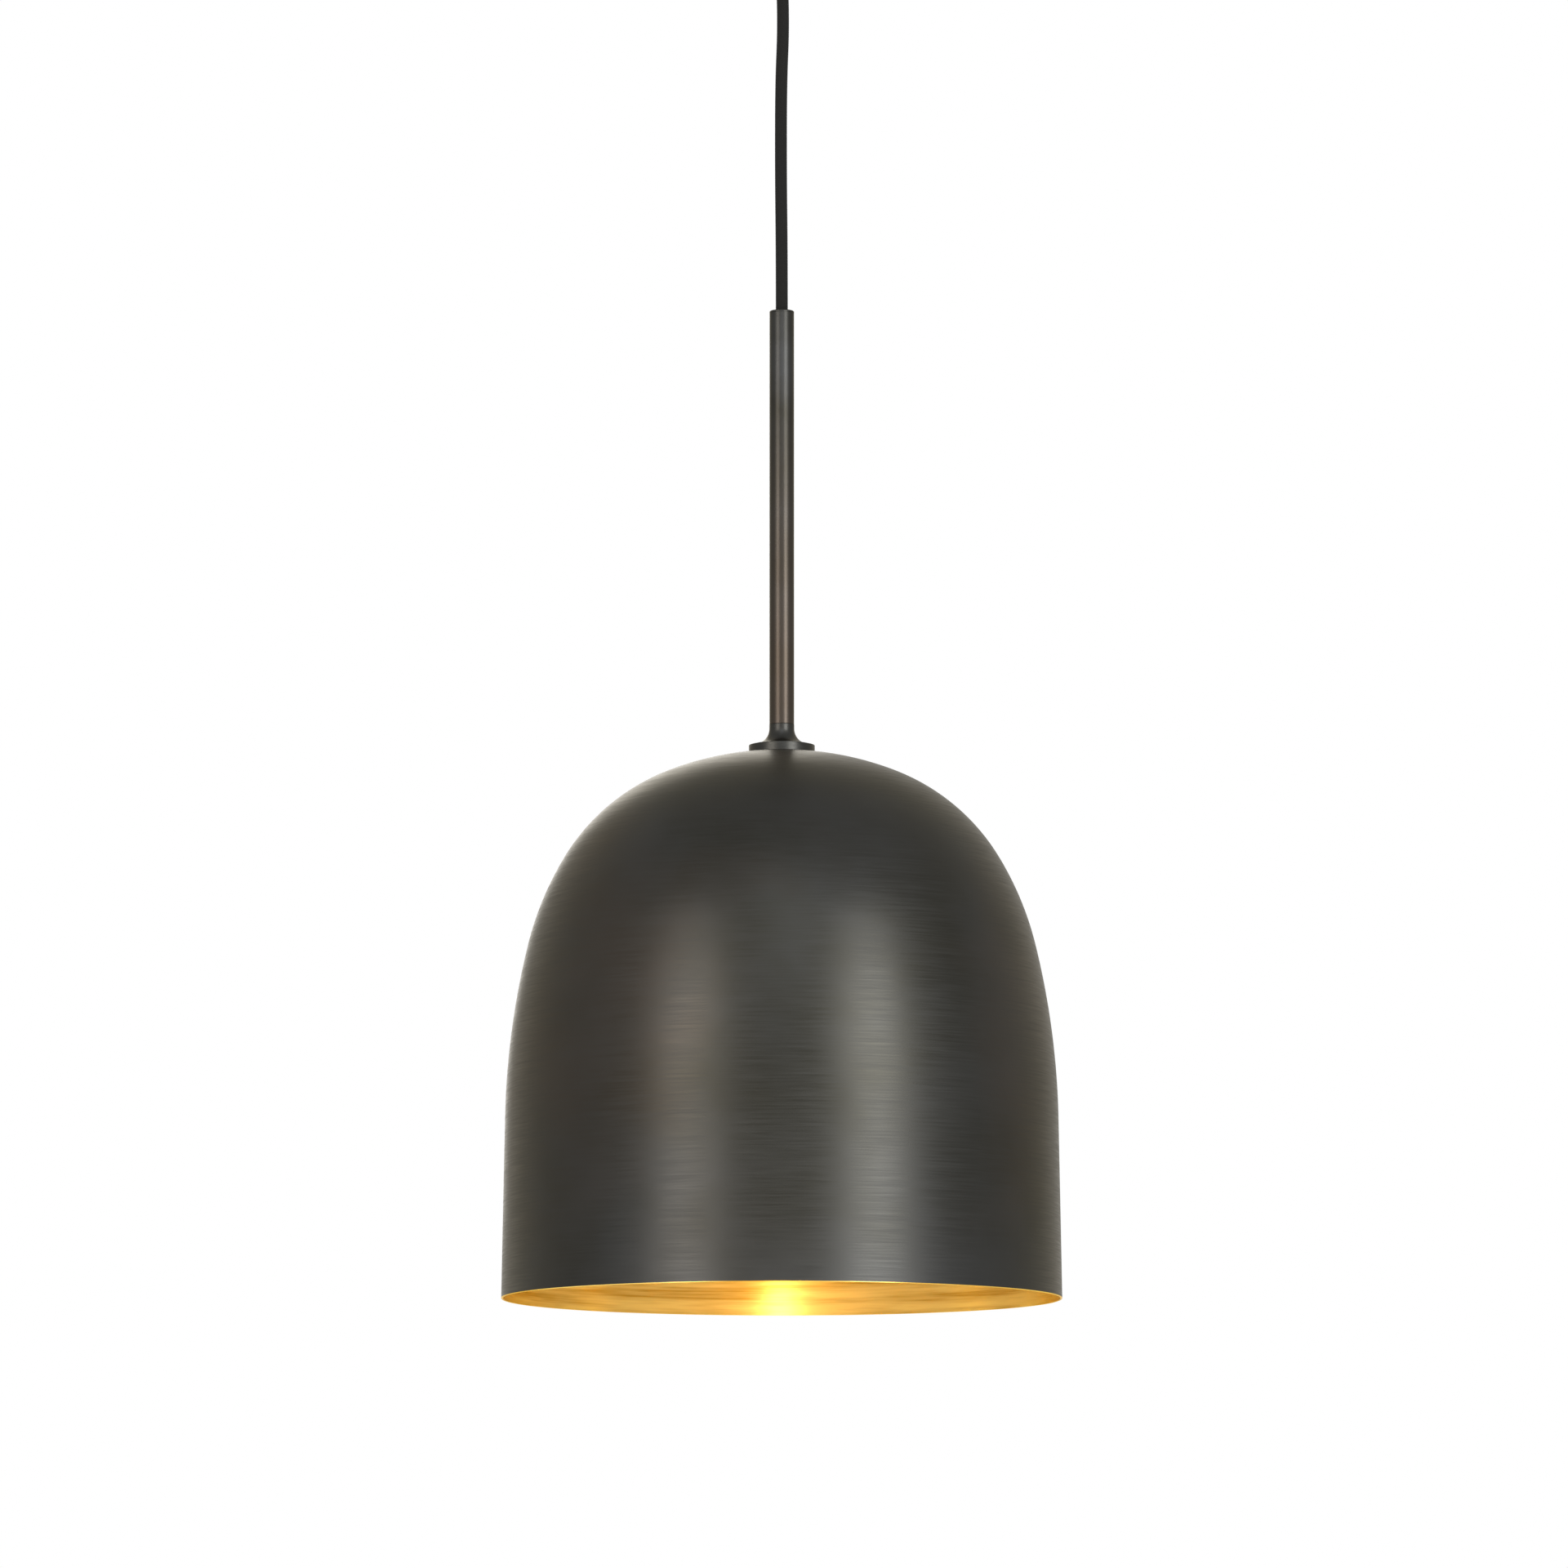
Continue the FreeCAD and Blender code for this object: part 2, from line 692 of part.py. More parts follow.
def build_holder_terminals():
    """Two brass posts that take the conductors, their screws, and the cap's earth screw."""
    level = "insert_foot_up + insert_height + tab_thick - rim_drop"
    posts = []
    screws = []
    for name, centre in (("live", "-post_offset"), ("neutral", "post_offset")):
        post = block(name + "_post_blank", "post_length", "post_width", "post_height",
                     (f"{centre} - post_length / 2", "-post_width / 2", level))
        way_in = round_bar(name + "_post_way_in", "post_hole", "post_length + 2 * overrun",
                           (f"{centre} - post_length / 2 - overrun", "0",
                            f"{level} + post_height / 2"), SIDEWAYS)
        thread = round_bar(name + "_post_thread", "small_screw", "post_width / 2",
                           (centre, "-post_width / 2", f"{level} + post_height / 2"), INWARD)
        posts.append(hollowed(name + "_post", post, [way_in, thread]))
        screws.append(screw(name + "_post_screw", "small_screw", "post_hole", "small_head",
                            "small_head_thick",
                            (centre, "-post_width / 2 - small_head_thick",
                             f"{level} + post_height / 2"), INWARD))
    finished(grouped("holder_terminals", posts))
    finished(grouped("holder_terminal_screws", screws))
    plate = "cap_foot_up + cap_side + cap_bend - cap_wall - rim_drop"
    finished(round_bar("holder_earth_screw", "small_head", "small_head_thick",
                       ("0", "earth_offset", f"{plate} - small_head_thick")))


# Bulb

def build_bulb():
    """The screw-in bulb: opal globe, screw cap, glass foot, tip, inner mount and filaments."""
    globe = shell_of_revolution("bulb_globe", draw_globe_section, "globe_wall")
    place(globe, ("0", "0", "bulb_foot_up - rim_drop"))
    finished(globe)
    finished(turned("bulb_cap", "bulb_cap_foot_up - rim_drop", [
        ("bulb_cap_radius - bulb_cap_wall", "0"),
        ("bulb_cap_radius", "0"),
        ("bulb_cap_radius", "bulb_cap_height"),
        ("glass_foot", "bulb_cap_height"),
        ("glass_foot", "bulb_cap_height - bulb_cap_wall"),
        ("bulb_cap_radius - bulb_cap_wall", "bulb_cap_height - bulb_cap_wall"),
    ]))
    finished(turned("bulb_cap_glass", "bulb_cap_foot_up + bulb_cap_height - rim_drop", [
        ("0", "0"),
        ("glass_foot", "0"),
        ("tip_radius", "glass_height"),
        ("0", "glass_height"),
    ]))
    tip_level = "bulb_cap_foot_up + bulb_cap_height + glass_height - rim_drop"
    finished(turned("bulb_contact_tip", tip_level, [
        ("0", "0"),
        ("tip_radius", "0"),
        ("tip_radius", "tip_height / 2"),
        ("tip_radius / 2", "tip_height"),
        ("0", "tip_height"),
    ]))
    finished(turned("bulb_mount", "mount_up - rim_drop", [
        ("0", "0"),
        ("mount_radius / 2", "0"),
        ("mount_radius", "mount_height / 2"),
        ("neck_radius - globe_wall - mount_gap", "mount_height"),
        ("0", "mount_height"),
    ]))
    sticks = []
    for number in range(4):
        angle = math.radians(45 + 90 * number)
        stick = round_bar(f"filament_{number + 1}", "filament_radius", "filament_length",
                          (f"filament_circle * {math.cos(angle):.6f}",
                           f"filament_circle * {math.sin(angle):.6f}", "filament_up - rim_drop"))
        sticks.append(stick)
    finished(grouped("bulb_filaments", sticks))


def draw_globe_section(sketch, inset):
    """The solid globe's half section: a sphere, a hollow curve up to the neck, and the neck."""
    radius = value(f"bulb_radius - {inset}")
    neck_radius = value(f"neck_radius - {inset}")
    middle = FreeCAD.Vector(0, value("bulb_radius"), 0)
    neck = FreeCAD.Vector(neck_radius, value("neck_start"), 0)
    rise = neck.y - middle.y
    bend = (neck_radius ** 2 + rise ** 2 - radius ** 2) / (2 * (radius - neck_radius))
    outside = FreeCAD.Vector(neck_radius + bend, neck.y, 0)
    across = outside - middle
    meeting_angle = math.atan2(across.y, across.x)
    sphere = Part.ArcOfCircle(Part.Circle(middle, UP, radius), -math.pi / 2, meeting_angle)
    hollow = Part.ArcOfCircle(Part.Circle(outside, UP, bend), math.pi, math.pi + meeting_angle)
    end = FreeCAD.Vector(neck.x, value("neck_end"), 0)
    top = FreeCAD.Vector(0, end.y, 0)
    foot = FreeCAD.Vector(0, middle.y - radius, 0)
    sketch.addGeometry(sphere, False)
    sketch.addGeometry(hollow, False)
    sketch.addGeometry(Part.LineSegment(neck, end), False)
    sketch.addGeometry(Part.LineSegment(end, top), False)
    sketch.addGeometry(Part.LineSegment(top, foot), False)
    sketch.addConstraint(Sketcher.Constraint("Tangent", 0, 2, 1, 2))
    sketch.addConstraint(Sketcher.Constraint("Tangent", 1, 1, 2, 1))
    sketch.addConstraint(Sketcher.Constraint("Coincident", 2, 2, 3, 1))
    sketch.addConstraint(Sketcher.Constraint("Coincident", 3, 2, 4, 1))
    sketch.addConstraint(Sketcher.Constraint("Coincident", 4, 2, 0, 1))
    fix_point(sketch, 0, 3, ("0", "bulb_radius"))
    fix_point(sketch, 0, 1, ("0", inset))
    fix_point(sketch, 2, 1, (f"neck_radius - {inset}", "neck_start"))
    fix_point(sketch, 2, 2, (f"neck_radius - {inset}", "neck_end"))
    fix_point(sketch, 3, 2, ("0", "neck_end"))


# Ceiling bracket and its terminal block

def draw_slot(sketch, centre):
    """A slot along X with round ends, about a bound centre on the X axis."""
    reach = "(slot_length - slot_width) / 2"
    half = value("slot_width / 2")
    left = FreeCAD.Vector(value(f"{centre} - {reach}"), 0, 0)
    right = FreeCAD.Vector(value(f"{centre} + {reach}"), 0, 0)
    rise = FreeCAD.Vector(0, half, 0)
    first = len(sketch.Geometry)
    sketch.addGeometry(Part.LineSegment(left + rise, right + rise), False)
    quarter = math.pi / 2
    sketch.addGeometry(Part.ArcOfCircle(Part.Circle(right, UP, half), -quarter, quarter), False)
    sketch.addGeometry(Part.LineSegment(right - rise, left - rise), False)
    sketch.addGeometry(Part.ArcOfCircle(Part.Circle(left, UP, half), quarter, 3 * quarter), False)
    top, right_end, foot, left_end = range(first, first + 4)
    sketch.addConstraint(Sketcher.Constraint("Tangent", top, 2, right_end, 2))
    sketch.addConstraint(Sketcher.Constraint("Tangent", right_end, 1, foot, 1))
    sketch.addConstraint(Sketcher.Constraint("Tangent", foot, 2, left_end, 2))
    sketch.addConstraint(Sketcher.Constraint("Tangent", left_end, 1, top, 1))
    fix_point(sketch, right_end, 3, (f"{centre} + {reach}", "0"))
    fix_point(sketch, left_end, 3, (f"{centre} - {reach}", "0"))
    constraint = sketch.addConstraint(Sketcher.Constraint("Radius", right_end, half))
    sketch.setExpression(f"Constraints[{constraint}]", cells("slot_width / 2"))


def build_bracket():
    """A steel strap with two ears bent down, slots for the ceiling screws and tapped holes."""
    body = doc.addObject("PartDesign::Body", "ceiling_bracket")
    sketch = new_sketch(body, "bracket_section", "XZ_Plane")
    inner = "strap_reach - strap_thick"
    draw_outline(sketch, [
        ("-strap_reach", "-ear_height"),
        (f"-({inner})", "-ear_height"),
        (f"-({inner})", "-2 * strap_thick", "strap_thick", "right"),
        (f"-({inner}) + strap_thick", "-strap_thick"),
        (f"{inner} - strap_thick", "-strap_thick", "strap_thick", "right"),
        (inner, "-2 * strap_thick"),
        (inner, "-ear_height"),
        ("strap_reach", "-ear_height"),
        ("strap_reach", "-2 * strap_thick", "2 * strap_thick", "left"),
        (f"{inner} - strap_thick", "0"),
        (f"-({inner}) + strap_thick", "0", "2 * strap_thick", "left"),
        ("-strap_reach", "-2 * strap_thick"),
    ])
    strap = body.newObject("PartDesign::Pad", "bracket_strap")
    strap.Profile = sketch
    strap.SideType = "Symmetric"
    strap.setExpression("Length", cells("strap_width"))
    body.Tip = strap
    doc.recompute()
    through_pocket(body, "bracket_slots", draw_bracket_holes, upward=False)
    for number, upward in enumerate((True, False), 1):
        through_pocket(body, f"ear_hole_{number}", draw_ear_hole, "YZ_Plane", upward)
    finished(body)


def draw_bracket_holes(sketch):
    """Both slots, the terminal block's screw hole and the earth screw's hole."""
    draw_slot(sketch, "-slot_offset")
    draw_slot(sketch, "slot_offset")
    draw_circle(sketch, "block_screw")
    draw_circle(sketch, "earth_screw", ("earth_place", "0"))


def draw_ear_hole(sketch):
    """The tapped hole in an ear, below the ceiling by its drop."""
    draw_circle(sketch, "ear_hole", ("0", "-ear_hole_drop"))


def build_terminal_block():
    """A two-pole block screwed up to the strap, its brass barrels and clamping screws."""
    top = "-strap_thick"
    foot = "-strap_thick - block_height"
    blank = block("terminal_blank", "block_length", "block_width", "block_height",
                  ("-block_length / 2", "-block_width / 2", foot))
    cutters = [round_bar("block_screw_way", "block_screw", "block_height", ("0", "0", foot)),
               round_bar("block_screw_well", "block_screw_head", "block_height / 2",
                         ("0", "0", foot))]
    barrels = []
    screws = []
    for name, side in (("live", "-pole_offset"), ("neutral", "pole_offset")):
        cutters.append(round_bar(name + "_barrel_way", "barrel_radius",
                                 "block_width + 2 * overrun",
                                 (side, "-block_width / 2 - overrun", "-pole_drop"), INWARD))
        barrel = round_bar(name + "_barrel_blank", "barrel_radius", "barrel_length",
                           (side, "-barrel_length / 2", "-pole_drop"), INWARD)
        bore = round_bar(name + "_barrel_bore", "barrel_bore", "barrel_length + 2 * overrun",
                         (side, "-barrel_length / 2 - overrun", "-pole_drop"), INWARD)
        threads = []
        for end, place_y in (("far", "well_offset"), ("near", "-well_offset")):
            well = round_bar(f"{name}_{end}_well", "well_radius",
                             "strap_thick + block_height - pole_drop",
                             (side, place_y, foot))
            cutters.append(well)
            threads.append(round_bar(f"{name}_{end}_thread", "small_screw", "barrel_radius",
                                     (side, place_y, "-pole_drop - barrel_radius")))
            screws.append(round_bar(f"{name}_{end}_screw", "small_screw", "pole_screw_length",
                                    (side, place_y, "-pole_drop - barrel_bore - pole_screw_foot")))
        barrels.append(hollowed(name + "_barrel", barrel, [bore] + threads))
    finished(hollowed("terminal_block", blank, cutters))
    finished(grouped("terminal_barrels", barrels))
    finished(grouped("terminal_screws", screws))
    head_level = f"{foot} + block_height / 2 - small_head_thick"
    finished(screw("block_fixing_screw", "block_screw", "block_height / 2 + strap_thick",
                   "small_head", "small_head_thick", ("0", "0", head_level), UP))
    finished(screw("bracket_earth_screw", "earth_screw", "tag_thick + strap_thick", "earth_head",
                   "earth_head_thick",
                   ("earth_place", "0", f"{top} - tag_thick - earth_head_thick"), UP))
    tag_disc = round_bar("tag_disc", "tag_radius", "tag_thick",
                         ("earth_place", "0", f"{top} - tag_thick"))
    tag_tail = block("tag_tail", "core_radius * 2", "tag_radius * 2", "tag_thick",
                     ("earth_place - core_radius", "-tag_radius * 2", f"{top} - tag_thick"))
    tag_hole = round_bar("tag_hole", "earth_screw", "tag_thick",
                         ("earth_place", "0", f"{top} - tag_thick"))
    finished(hollowed("earth_tag", joined("tag_blank", [tag_disc, tag_tail]), [tag_hole]))


def build_side_screws():
    """Two knurled screws that pass through the canopy's slots into the bracket's ears."""
    start = "canopy_radius + side_screw_gap + side_screw_head_thick"
    screws = [
        screw("side_screw_right", "side_screw", "side_screw_length", "side_screw_head",
              "side_screw_head_thick", (start, "0", "-ear_hole_drop"), -SIDEWAYS),
        screw("side_screw_left", "side_screw", "side_screw_length", "side_screw_head",
              "side_screw_head_thick", (f"-({start})", "0", "-ear_hole_drop"), SIDEWAYS),
    ]
    finished(grouped("canopy_side_screws", screws))


# Canopy and cord grip

def build_canopy():
    """The spun cup against the ceiling, with two slots open at its rim for the side screws."""
    blank = turned("canopy_blank", "-canopy_height", [
        ("canopy_hole", "0"),
        ("canopy_radius - canopy_bend", "0", "canopy_bend", "left"),
        ("canopy_radius", "canopy_bend"),
        ("canopy_radius", "canopy_height"),
        ("canopy_radius - canopy_wall", "canopy_height"),
        ("canopy_radius - canopy_wall", "canopy_bend", "canopy_bend - canopy_wall", "right"),
        ("canopy_radius - canopy_bend", "canopy_wall"),
        ("canopy_hole", "canopy_wall"),
    ])
    slots = block("canopy_slots", "2 * canopy_radius + 2 * overrun", "canopy_slot",
                  "canopy_slot_depth",
                  ("-canopy_radius - overrun", "-canopy_slot / 2", "-canopy_slot_depth"))
    finished(hollowed("ceiling_canopy", blank, [slots]))


def build_grip():
    """The collar that holds the cord in the canopy's foot, its nut, washer and clamp screw."""
    blank = turned("grip_blank", "-canopy_height - grip_height", [
        ("grip_bore + grip_lip", "0"),
        ("grip_radius - grip_edge", "0", "grip_edge", "left"),
        ("grip_radius", "grip_edge"),
        ("grip_radius", "grip_height"),
        ("spigot_radius", "grip_height"),
        ("spigot_radius", "grip_height + grip_spigot"),
        ("grip_bore", "grip_height + grip_spigot"),
        ("grip_bore", "grip_lip", "grip_lip", "left"),
    ])
    clamp_level = "-canopy_height - clamp_drop"
    way = round_bar("clamp_way", "clamp_hole", "grip_radius", ("0", "0", clamp_level), -INWARD)
    finished(hollowed("cord_grip", blank, [way]))
    finished(round_bar("grip_clamp_screw", "clamp_screw",
                       "grip_radius - cord_radius - clamp_gap - clamp_sink",
                       ("0", "-cord_radius - clamp_gap", clamp_level), -INWARD))
    finished(ring("grip_washer", "-canopy_height + canopy_wall", "canopy_hole",
                  "grip_washer_radius", "grip_washer_thick"))
    finished(hex_nut("grip_nut", "-canopy_height + canopy_wall + grip_washer_thick",
                     "grip_nut_thick"))


# Cord, from the ceiling end down

def cord_foot():
    """Height of the stem cap's top, where the hanging cord goes into the stem."""
    return value("cover_up + coupler_height + stem_length + cap_flange - rim_drop")


def build_cord():
    """The cord in three stretches: in the grip, hanging free, and inside the stem."""
    pivot = value("-canopy_height - grip_height")
    radius = value("cord_radius")
    grip_foot = "-canopy_height - grip_height + cord_radius + bend_gap"
    finished(round_bar("cord_in_grip", "cord_radius",
                       "grip_height + grip_spigot - cord_radius - bend_gap",
                       ("0", "0", grip_foot)))
    hanging = sweep("hanging_cord", [
        (0, 0, pivot),
        (0.1, 0, pivot - 24),
        (0.9, 0, pivot - 53),
        (-0.4, 0, pivot - 84),
        (-0.5, 0, pivot - 134),
        (0, 0, pivot - 178),
        (0, 0, cord_foot()),
    ], radius)
    bend = Part.makeSphere(radius, FreeCAD.Vector(0, 0, pivot))
    finished(shaped("hanging_cord", hanging.fuse(bend)))
    top = "cover_up + coupler_height + stem_length + cap_flange"
    finished(round_bar("stem_cord", "cord_radius", f"{top} - core_end_up",
                       ("0", "0", "core_end_up - rim_drop")))


def build_ceiling_cores():
    """The cord's three conductors, fanned out above the grip to the terminals and the earth."""
    start = value("-canopy_height + grip_spigot")
    pole = value("pole_offset")
    level = -value("pole_drop")
    radius = value("core_radius")
    for name, side in (("live", -1), ("neutral", 1)):
        route = [
            (1.3 * side, 0.75, start),
            (1.3 * side, 0.75, start + 3.6),
            (4 * side, 7, start + 8),
            (pole * side, 16.6, start + 10.8),
            (1.05 * pole * side, 20, start + 17.8),
            (pole * side, 14.6, level - 0.3),
            (pole * side, 6, level),
        ]
        finished(shaped(name + "_core", sweep(name + "_core", route, radius)))
    place_x = value("earth_place")
    below_tag = -value("strap_thick + tag_thick") - radius
    route = [
        (0, -1.5, start),
        (0, -1.5, start + 3.6),
        (3.4, -8, start + 7.4),
        (11, -14, start + 12),
        (17, -14.5, below_tag - 7),
        (place_x - 0.3, -11, below_tag - 1.6),
        (place_x, -5, below_tag - 0.1),
    ]
    finished(shaped("earth_core", sweep("earth_core", route, radius)))


def build_holder_cores():
    """The conductors inside the lampholder's cap, from the cord's end to their screws."""
    drop = value("rim_drop")
    start = value("core_end_up") - drop
    terminal = value("insert_foot_up + insert_height + tab_thick + post_height / 2") - drop
    radius = 0.8 * value("core_radius")
    for name, side in (("live", -1), ("neutral", 1)):
        route = [
            (1.3 * side, 0, start),
            (1.3 * side, 0, start - 2.7),
            (3.2 * side, 0, terminal + 0.4),
            (8 * side, 0, terminal),
        ]
        label = f"holder_{name}_core"
        finished(shaped(label, sweep(label, route, radius)))
    head = value("cap_foot_up + cap_side + cap_bend - cap_wall - small_head_thick") - drop
    route = [
        (0, 1.4, start),
        (0, 1.4, start - 2.2),
        (0, 4.8, start - 4),
        (0, 8.4, head - radius - 0.9),
        (0, 11.8, head - radius - 0.05),
    ]
    finished(shaped("holder_earth_core", sweep("holder_earth_core", route, radius)))


# Checks and files

def check_document():
    """Stops if any object failed, or a sub-part is empty or unsound."""
    doc.recompute()
    for item in doc.Objects:
        if "Invalid" in item.State or "Error" in item.State:
            raise RuntimeError(f"{item.Label} failed: {item.State}")
    for part in parts:
        shape = part.Shape
        if shape.isNull() or not shape.isValid() or not shape.Solids:
            raise RuntimeError(f"{part.Label} has no sound shape")


def write_parts():
    """Writes each sub-part to its own STEP file, named by its label."""
    os.makedirs("parts", exist_ok=True)
    for part in parts:
        part.Shape.exportStep(f"parts/{part.Label}.step")
        print(f"{part.Label}: {len(part.Shape.Solids)} solid(s), {part.Shape.Volume:.1f} mm3")


def main():
    """Builds the light from the ceiling fitting down to the bulb, checks it and writes it."""
    fill_sheet()
    build_bracket()
    build_terminal_block()
    build_side_screws()
    build_canopy()
    build_grip()
    build_cord()
    build_ceiling_cores()
    build_stem()
    build_shade()
    build_shade_fixings()
    build_holder_shells()
    build_holder_contacts()
    build_holder_terminals()
    build_holder_cores()
    build_bulb()
    check_document()
    write_parts()


main()
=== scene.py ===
"""A bell-shaped metal pendant light, built round its packed frame as a Blender add-on.

Run as a script: it loads the frame, registers its classes and calls its operators in order.
Lengths in comments and docstrings are in millimetres; meshes are in metres.
"""

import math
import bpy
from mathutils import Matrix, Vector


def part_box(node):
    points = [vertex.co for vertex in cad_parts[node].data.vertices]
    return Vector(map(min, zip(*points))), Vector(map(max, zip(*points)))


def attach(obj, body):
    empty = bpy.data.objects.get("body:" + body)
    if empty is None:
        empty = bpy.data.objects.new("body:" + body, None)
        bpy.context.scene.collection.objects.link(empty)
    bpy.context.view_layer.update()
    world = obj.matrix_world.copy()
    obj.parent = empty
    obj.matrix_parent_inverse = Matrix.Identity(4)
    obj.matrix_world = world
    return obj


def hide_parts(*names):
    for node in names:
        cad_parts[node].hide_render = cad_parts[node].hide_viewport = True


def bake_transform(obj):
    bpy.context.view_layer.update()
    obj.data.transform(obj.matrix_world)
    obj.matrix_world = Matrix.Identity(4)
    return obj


bl_info = {
    "name": "Bell pendant light",
    "version": (1, 0, 0),
    "blender": (4, 5, 0),
    "location": "3D View > Sidebar > Pendant",
    "description": "Builds a spun metal pendant light round its packed frame",
    "category": "Add Mesh",
}

import bpy
import numpy as np

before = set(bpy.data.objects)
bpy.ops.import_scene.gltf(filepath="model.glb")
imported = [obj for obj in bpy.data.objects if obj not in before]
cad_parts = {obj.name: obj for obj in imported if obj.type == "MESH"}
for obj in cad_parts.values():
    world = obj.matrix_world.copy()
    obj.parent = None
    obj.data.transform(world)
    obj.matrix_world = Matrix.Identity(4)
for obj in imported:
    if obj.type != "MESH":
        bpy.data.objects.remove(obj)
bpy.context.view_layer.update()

MM = 0.001
FULL_TURN = 2 * math.pi

# Joins sharper than this, in degrees, are shaded as edges.
SHARP_ANGLE = 34.0
# Flat steps in each quarter turn of a small rounding.
BEND_STEPS = 6
# Steps down each of the shade's four arcs and its straight side.
SHADE_STEPS = (26, 22, 16, 26, 28)
# Radii of the shade's four arcs from the crown down, and the radius at which each of the first
# three gives way to the next, in millimetres.
SHADE_BENDS = (170.0, 110.9, 168.7, 428.1)
SHADE_ENDS = (63.1, 116.9, 136.4)
# Half the width of the holes in the crown, and of the bores in the stem, in millimetres.
SHADE_HOLE = 5.2
STEM_BORE = 5.05
# Glow of the lit glass and of the strips in it, as multiples of white paper in the studio.
GLASS_GLOW = 3.0
STRIP_GLOW = 120.0
# Tints that the bronze and the brass turn to at grazing angles.
BRONZE_EDGE = "#e8e3d8"
BRASS_EDGE = "#ffe6a0"
# Half the width of the floor, in metres.
FLOOR_RADIUS = 22.0
# Columns round the shade, a stem part and a small conductor.
SHADE_COLUMNS = 288
STEM_COLUMNS = 96
CORE_COLUMNS = 20
# Steps in the half sphere on the end of the cord, and between two points of a conductor's line.
DOME_STEPS = 8
CORE_STEPS = 24


def linear(code, alpha=1.0):
    """An sRGB hex colour as linear red, green, blue and alpha."""
    parts = np.array([int(code[place:place + 2], 16) for place in (1, 3, 5)]) / 255
    straight = parts / 12.92
    curved = ((parts + 0.055) / 1.055) ** 2.4
    return (*(float(part) for part in np.where(parts <= 0.04045, straight, curved)), alpha)


# Sizes and colours

def length(name, description, default):
    """A length that a user may change, given in millimetres."""
    return bpy.props.FloatProperty(name=name, description=description, default=default * MM,
                                   unit="LENGTH", subtype="DISTANCE", precision=5)


def colour(name, description, code):
    """A colour that a user may change, given as an sRGB hex code."""
    return bpy.props.FloatVectorProperty(name=name, description=description, size=4, min=0, max=1,
                                         subtype="COLOR", default=linear(code))


class PendantSizes(bpy.types.PropertyGroup):
    """Sizes that the frame doesn't fix."""

    cord_diameter: length("Cord", "Across the cord's braided cloth", 6.5)
    braid_depth: length("Braid depth", "How far the braid's strands stand out", 0.16)
    core_radius: length("Core radius", "Half the width of a conductor's sleeve", 1.1)
    holder_core_radius: length("Holder core", "Half a conductor's width in the holder", 0.88)
    shade_wall: length("Shade wall", "Thickness of the spun shade", 1.0)
    bare_edge: length("Bare edge", "Height of the bare metal on the rim", 0.35)
    knurl_depth: length("Knurl depth", "Depth of the grip on the side screws", 0.12)
    thread_pitch: length("Bulb thread", "Pitch of the bulb's screw thread", 3.63)
    camera_distance: length("Camera distance", "From the camera to the light's axis", 4500.0)
    floor_drop: length("Floor drop", "From the ceiling to the floor", 2350.0)


class PendantColours(bpy.types.PropertyGroup):
    """Colours of the finishes."""

    bronze_dark: colour("Bronze dark", "Deep tone of the bronzed metal", "#2a2924")
    bronze_light: colour("Bronze light", "Rubbed tone of the bronzed metal", "#363635")
    bronze_warm: colour("Bronze warm", "Brown tone of the bronzed metal", "#403831")
    brass_dark: colour("Brass dark", "Deep tone of the brushed brass", "#c99833")
    brass_light: colour("Brass light", "Bright tone of the brushed brass", "#f8d776")
    cord_dark: colour("Cord dark", "Colour of the cord's cloth in its valleys", "#080807")
    cord_light: colour("Cord light", "Colour of the cord's cloth on its strands", "#121211")
    lamp_light: colour("Lamp light", "Colour of the lit bulb", "#ffd9a0")
    floor: colour("Floor", "Colour of the floor", "#f8f8f7")


# Meshes: every patch is vertices, faces and the place of each face corner on its surface

def rounded(corners, steps=BEND_STEPS):
    """A closed section through corners of radius and height, in millimetres.

    A corner with a third number is rounded: its points are centre + bend (cos t, sin t), with t
    running from where the arc leaves one side to where it meets the next.
    """
    points = []
    flat = [np.array(corner[:2], float) for corner in corners]
    for number, corner in enumerate(corners):
        here = flat[number]
        if len(corner) == 2:
            points.append(here[None])
            continue
        back = flat[number - 1] - here
        ahead = flat[(number + 1) % len(flat)] - here
        back /= np.linalg.norm(back)
        ahead /= np.linalg.norm(ahead)
        half = math.acos(float(np.clip(back @ ahead, -1, 1))) / 2
        inner = (back + ahead) / np.linalg.norm(back + ahead)
        centre = here + inner * corner[2] / math.sin(half)
        reach = corner[2] / math.tan(half)
        first = here + back * reach - centre
        last = here + ahead * reach - centre
        start = math.atan2(first[1], first[0])
        sweep = math.atan2(first[0] * last[1] - first[1] * last[0], first @ last)
        turn = start + sweep * np.linspace(0, 1, steps + 1)
        points.append(centre + corner[2] * np.stack([np.cos(turn), np.sin(turn)], 1))
    return np.concatenate(points)


def climb(radius, low, high, step):
    """Points up or down a straight wall at one radius, about a step apart."""
    count = max(2, int(round(abs(high - low) / step)) + 1)
    return np.stack([np.full(count, float(radius)), np.linspace(low, high, count)], 1)


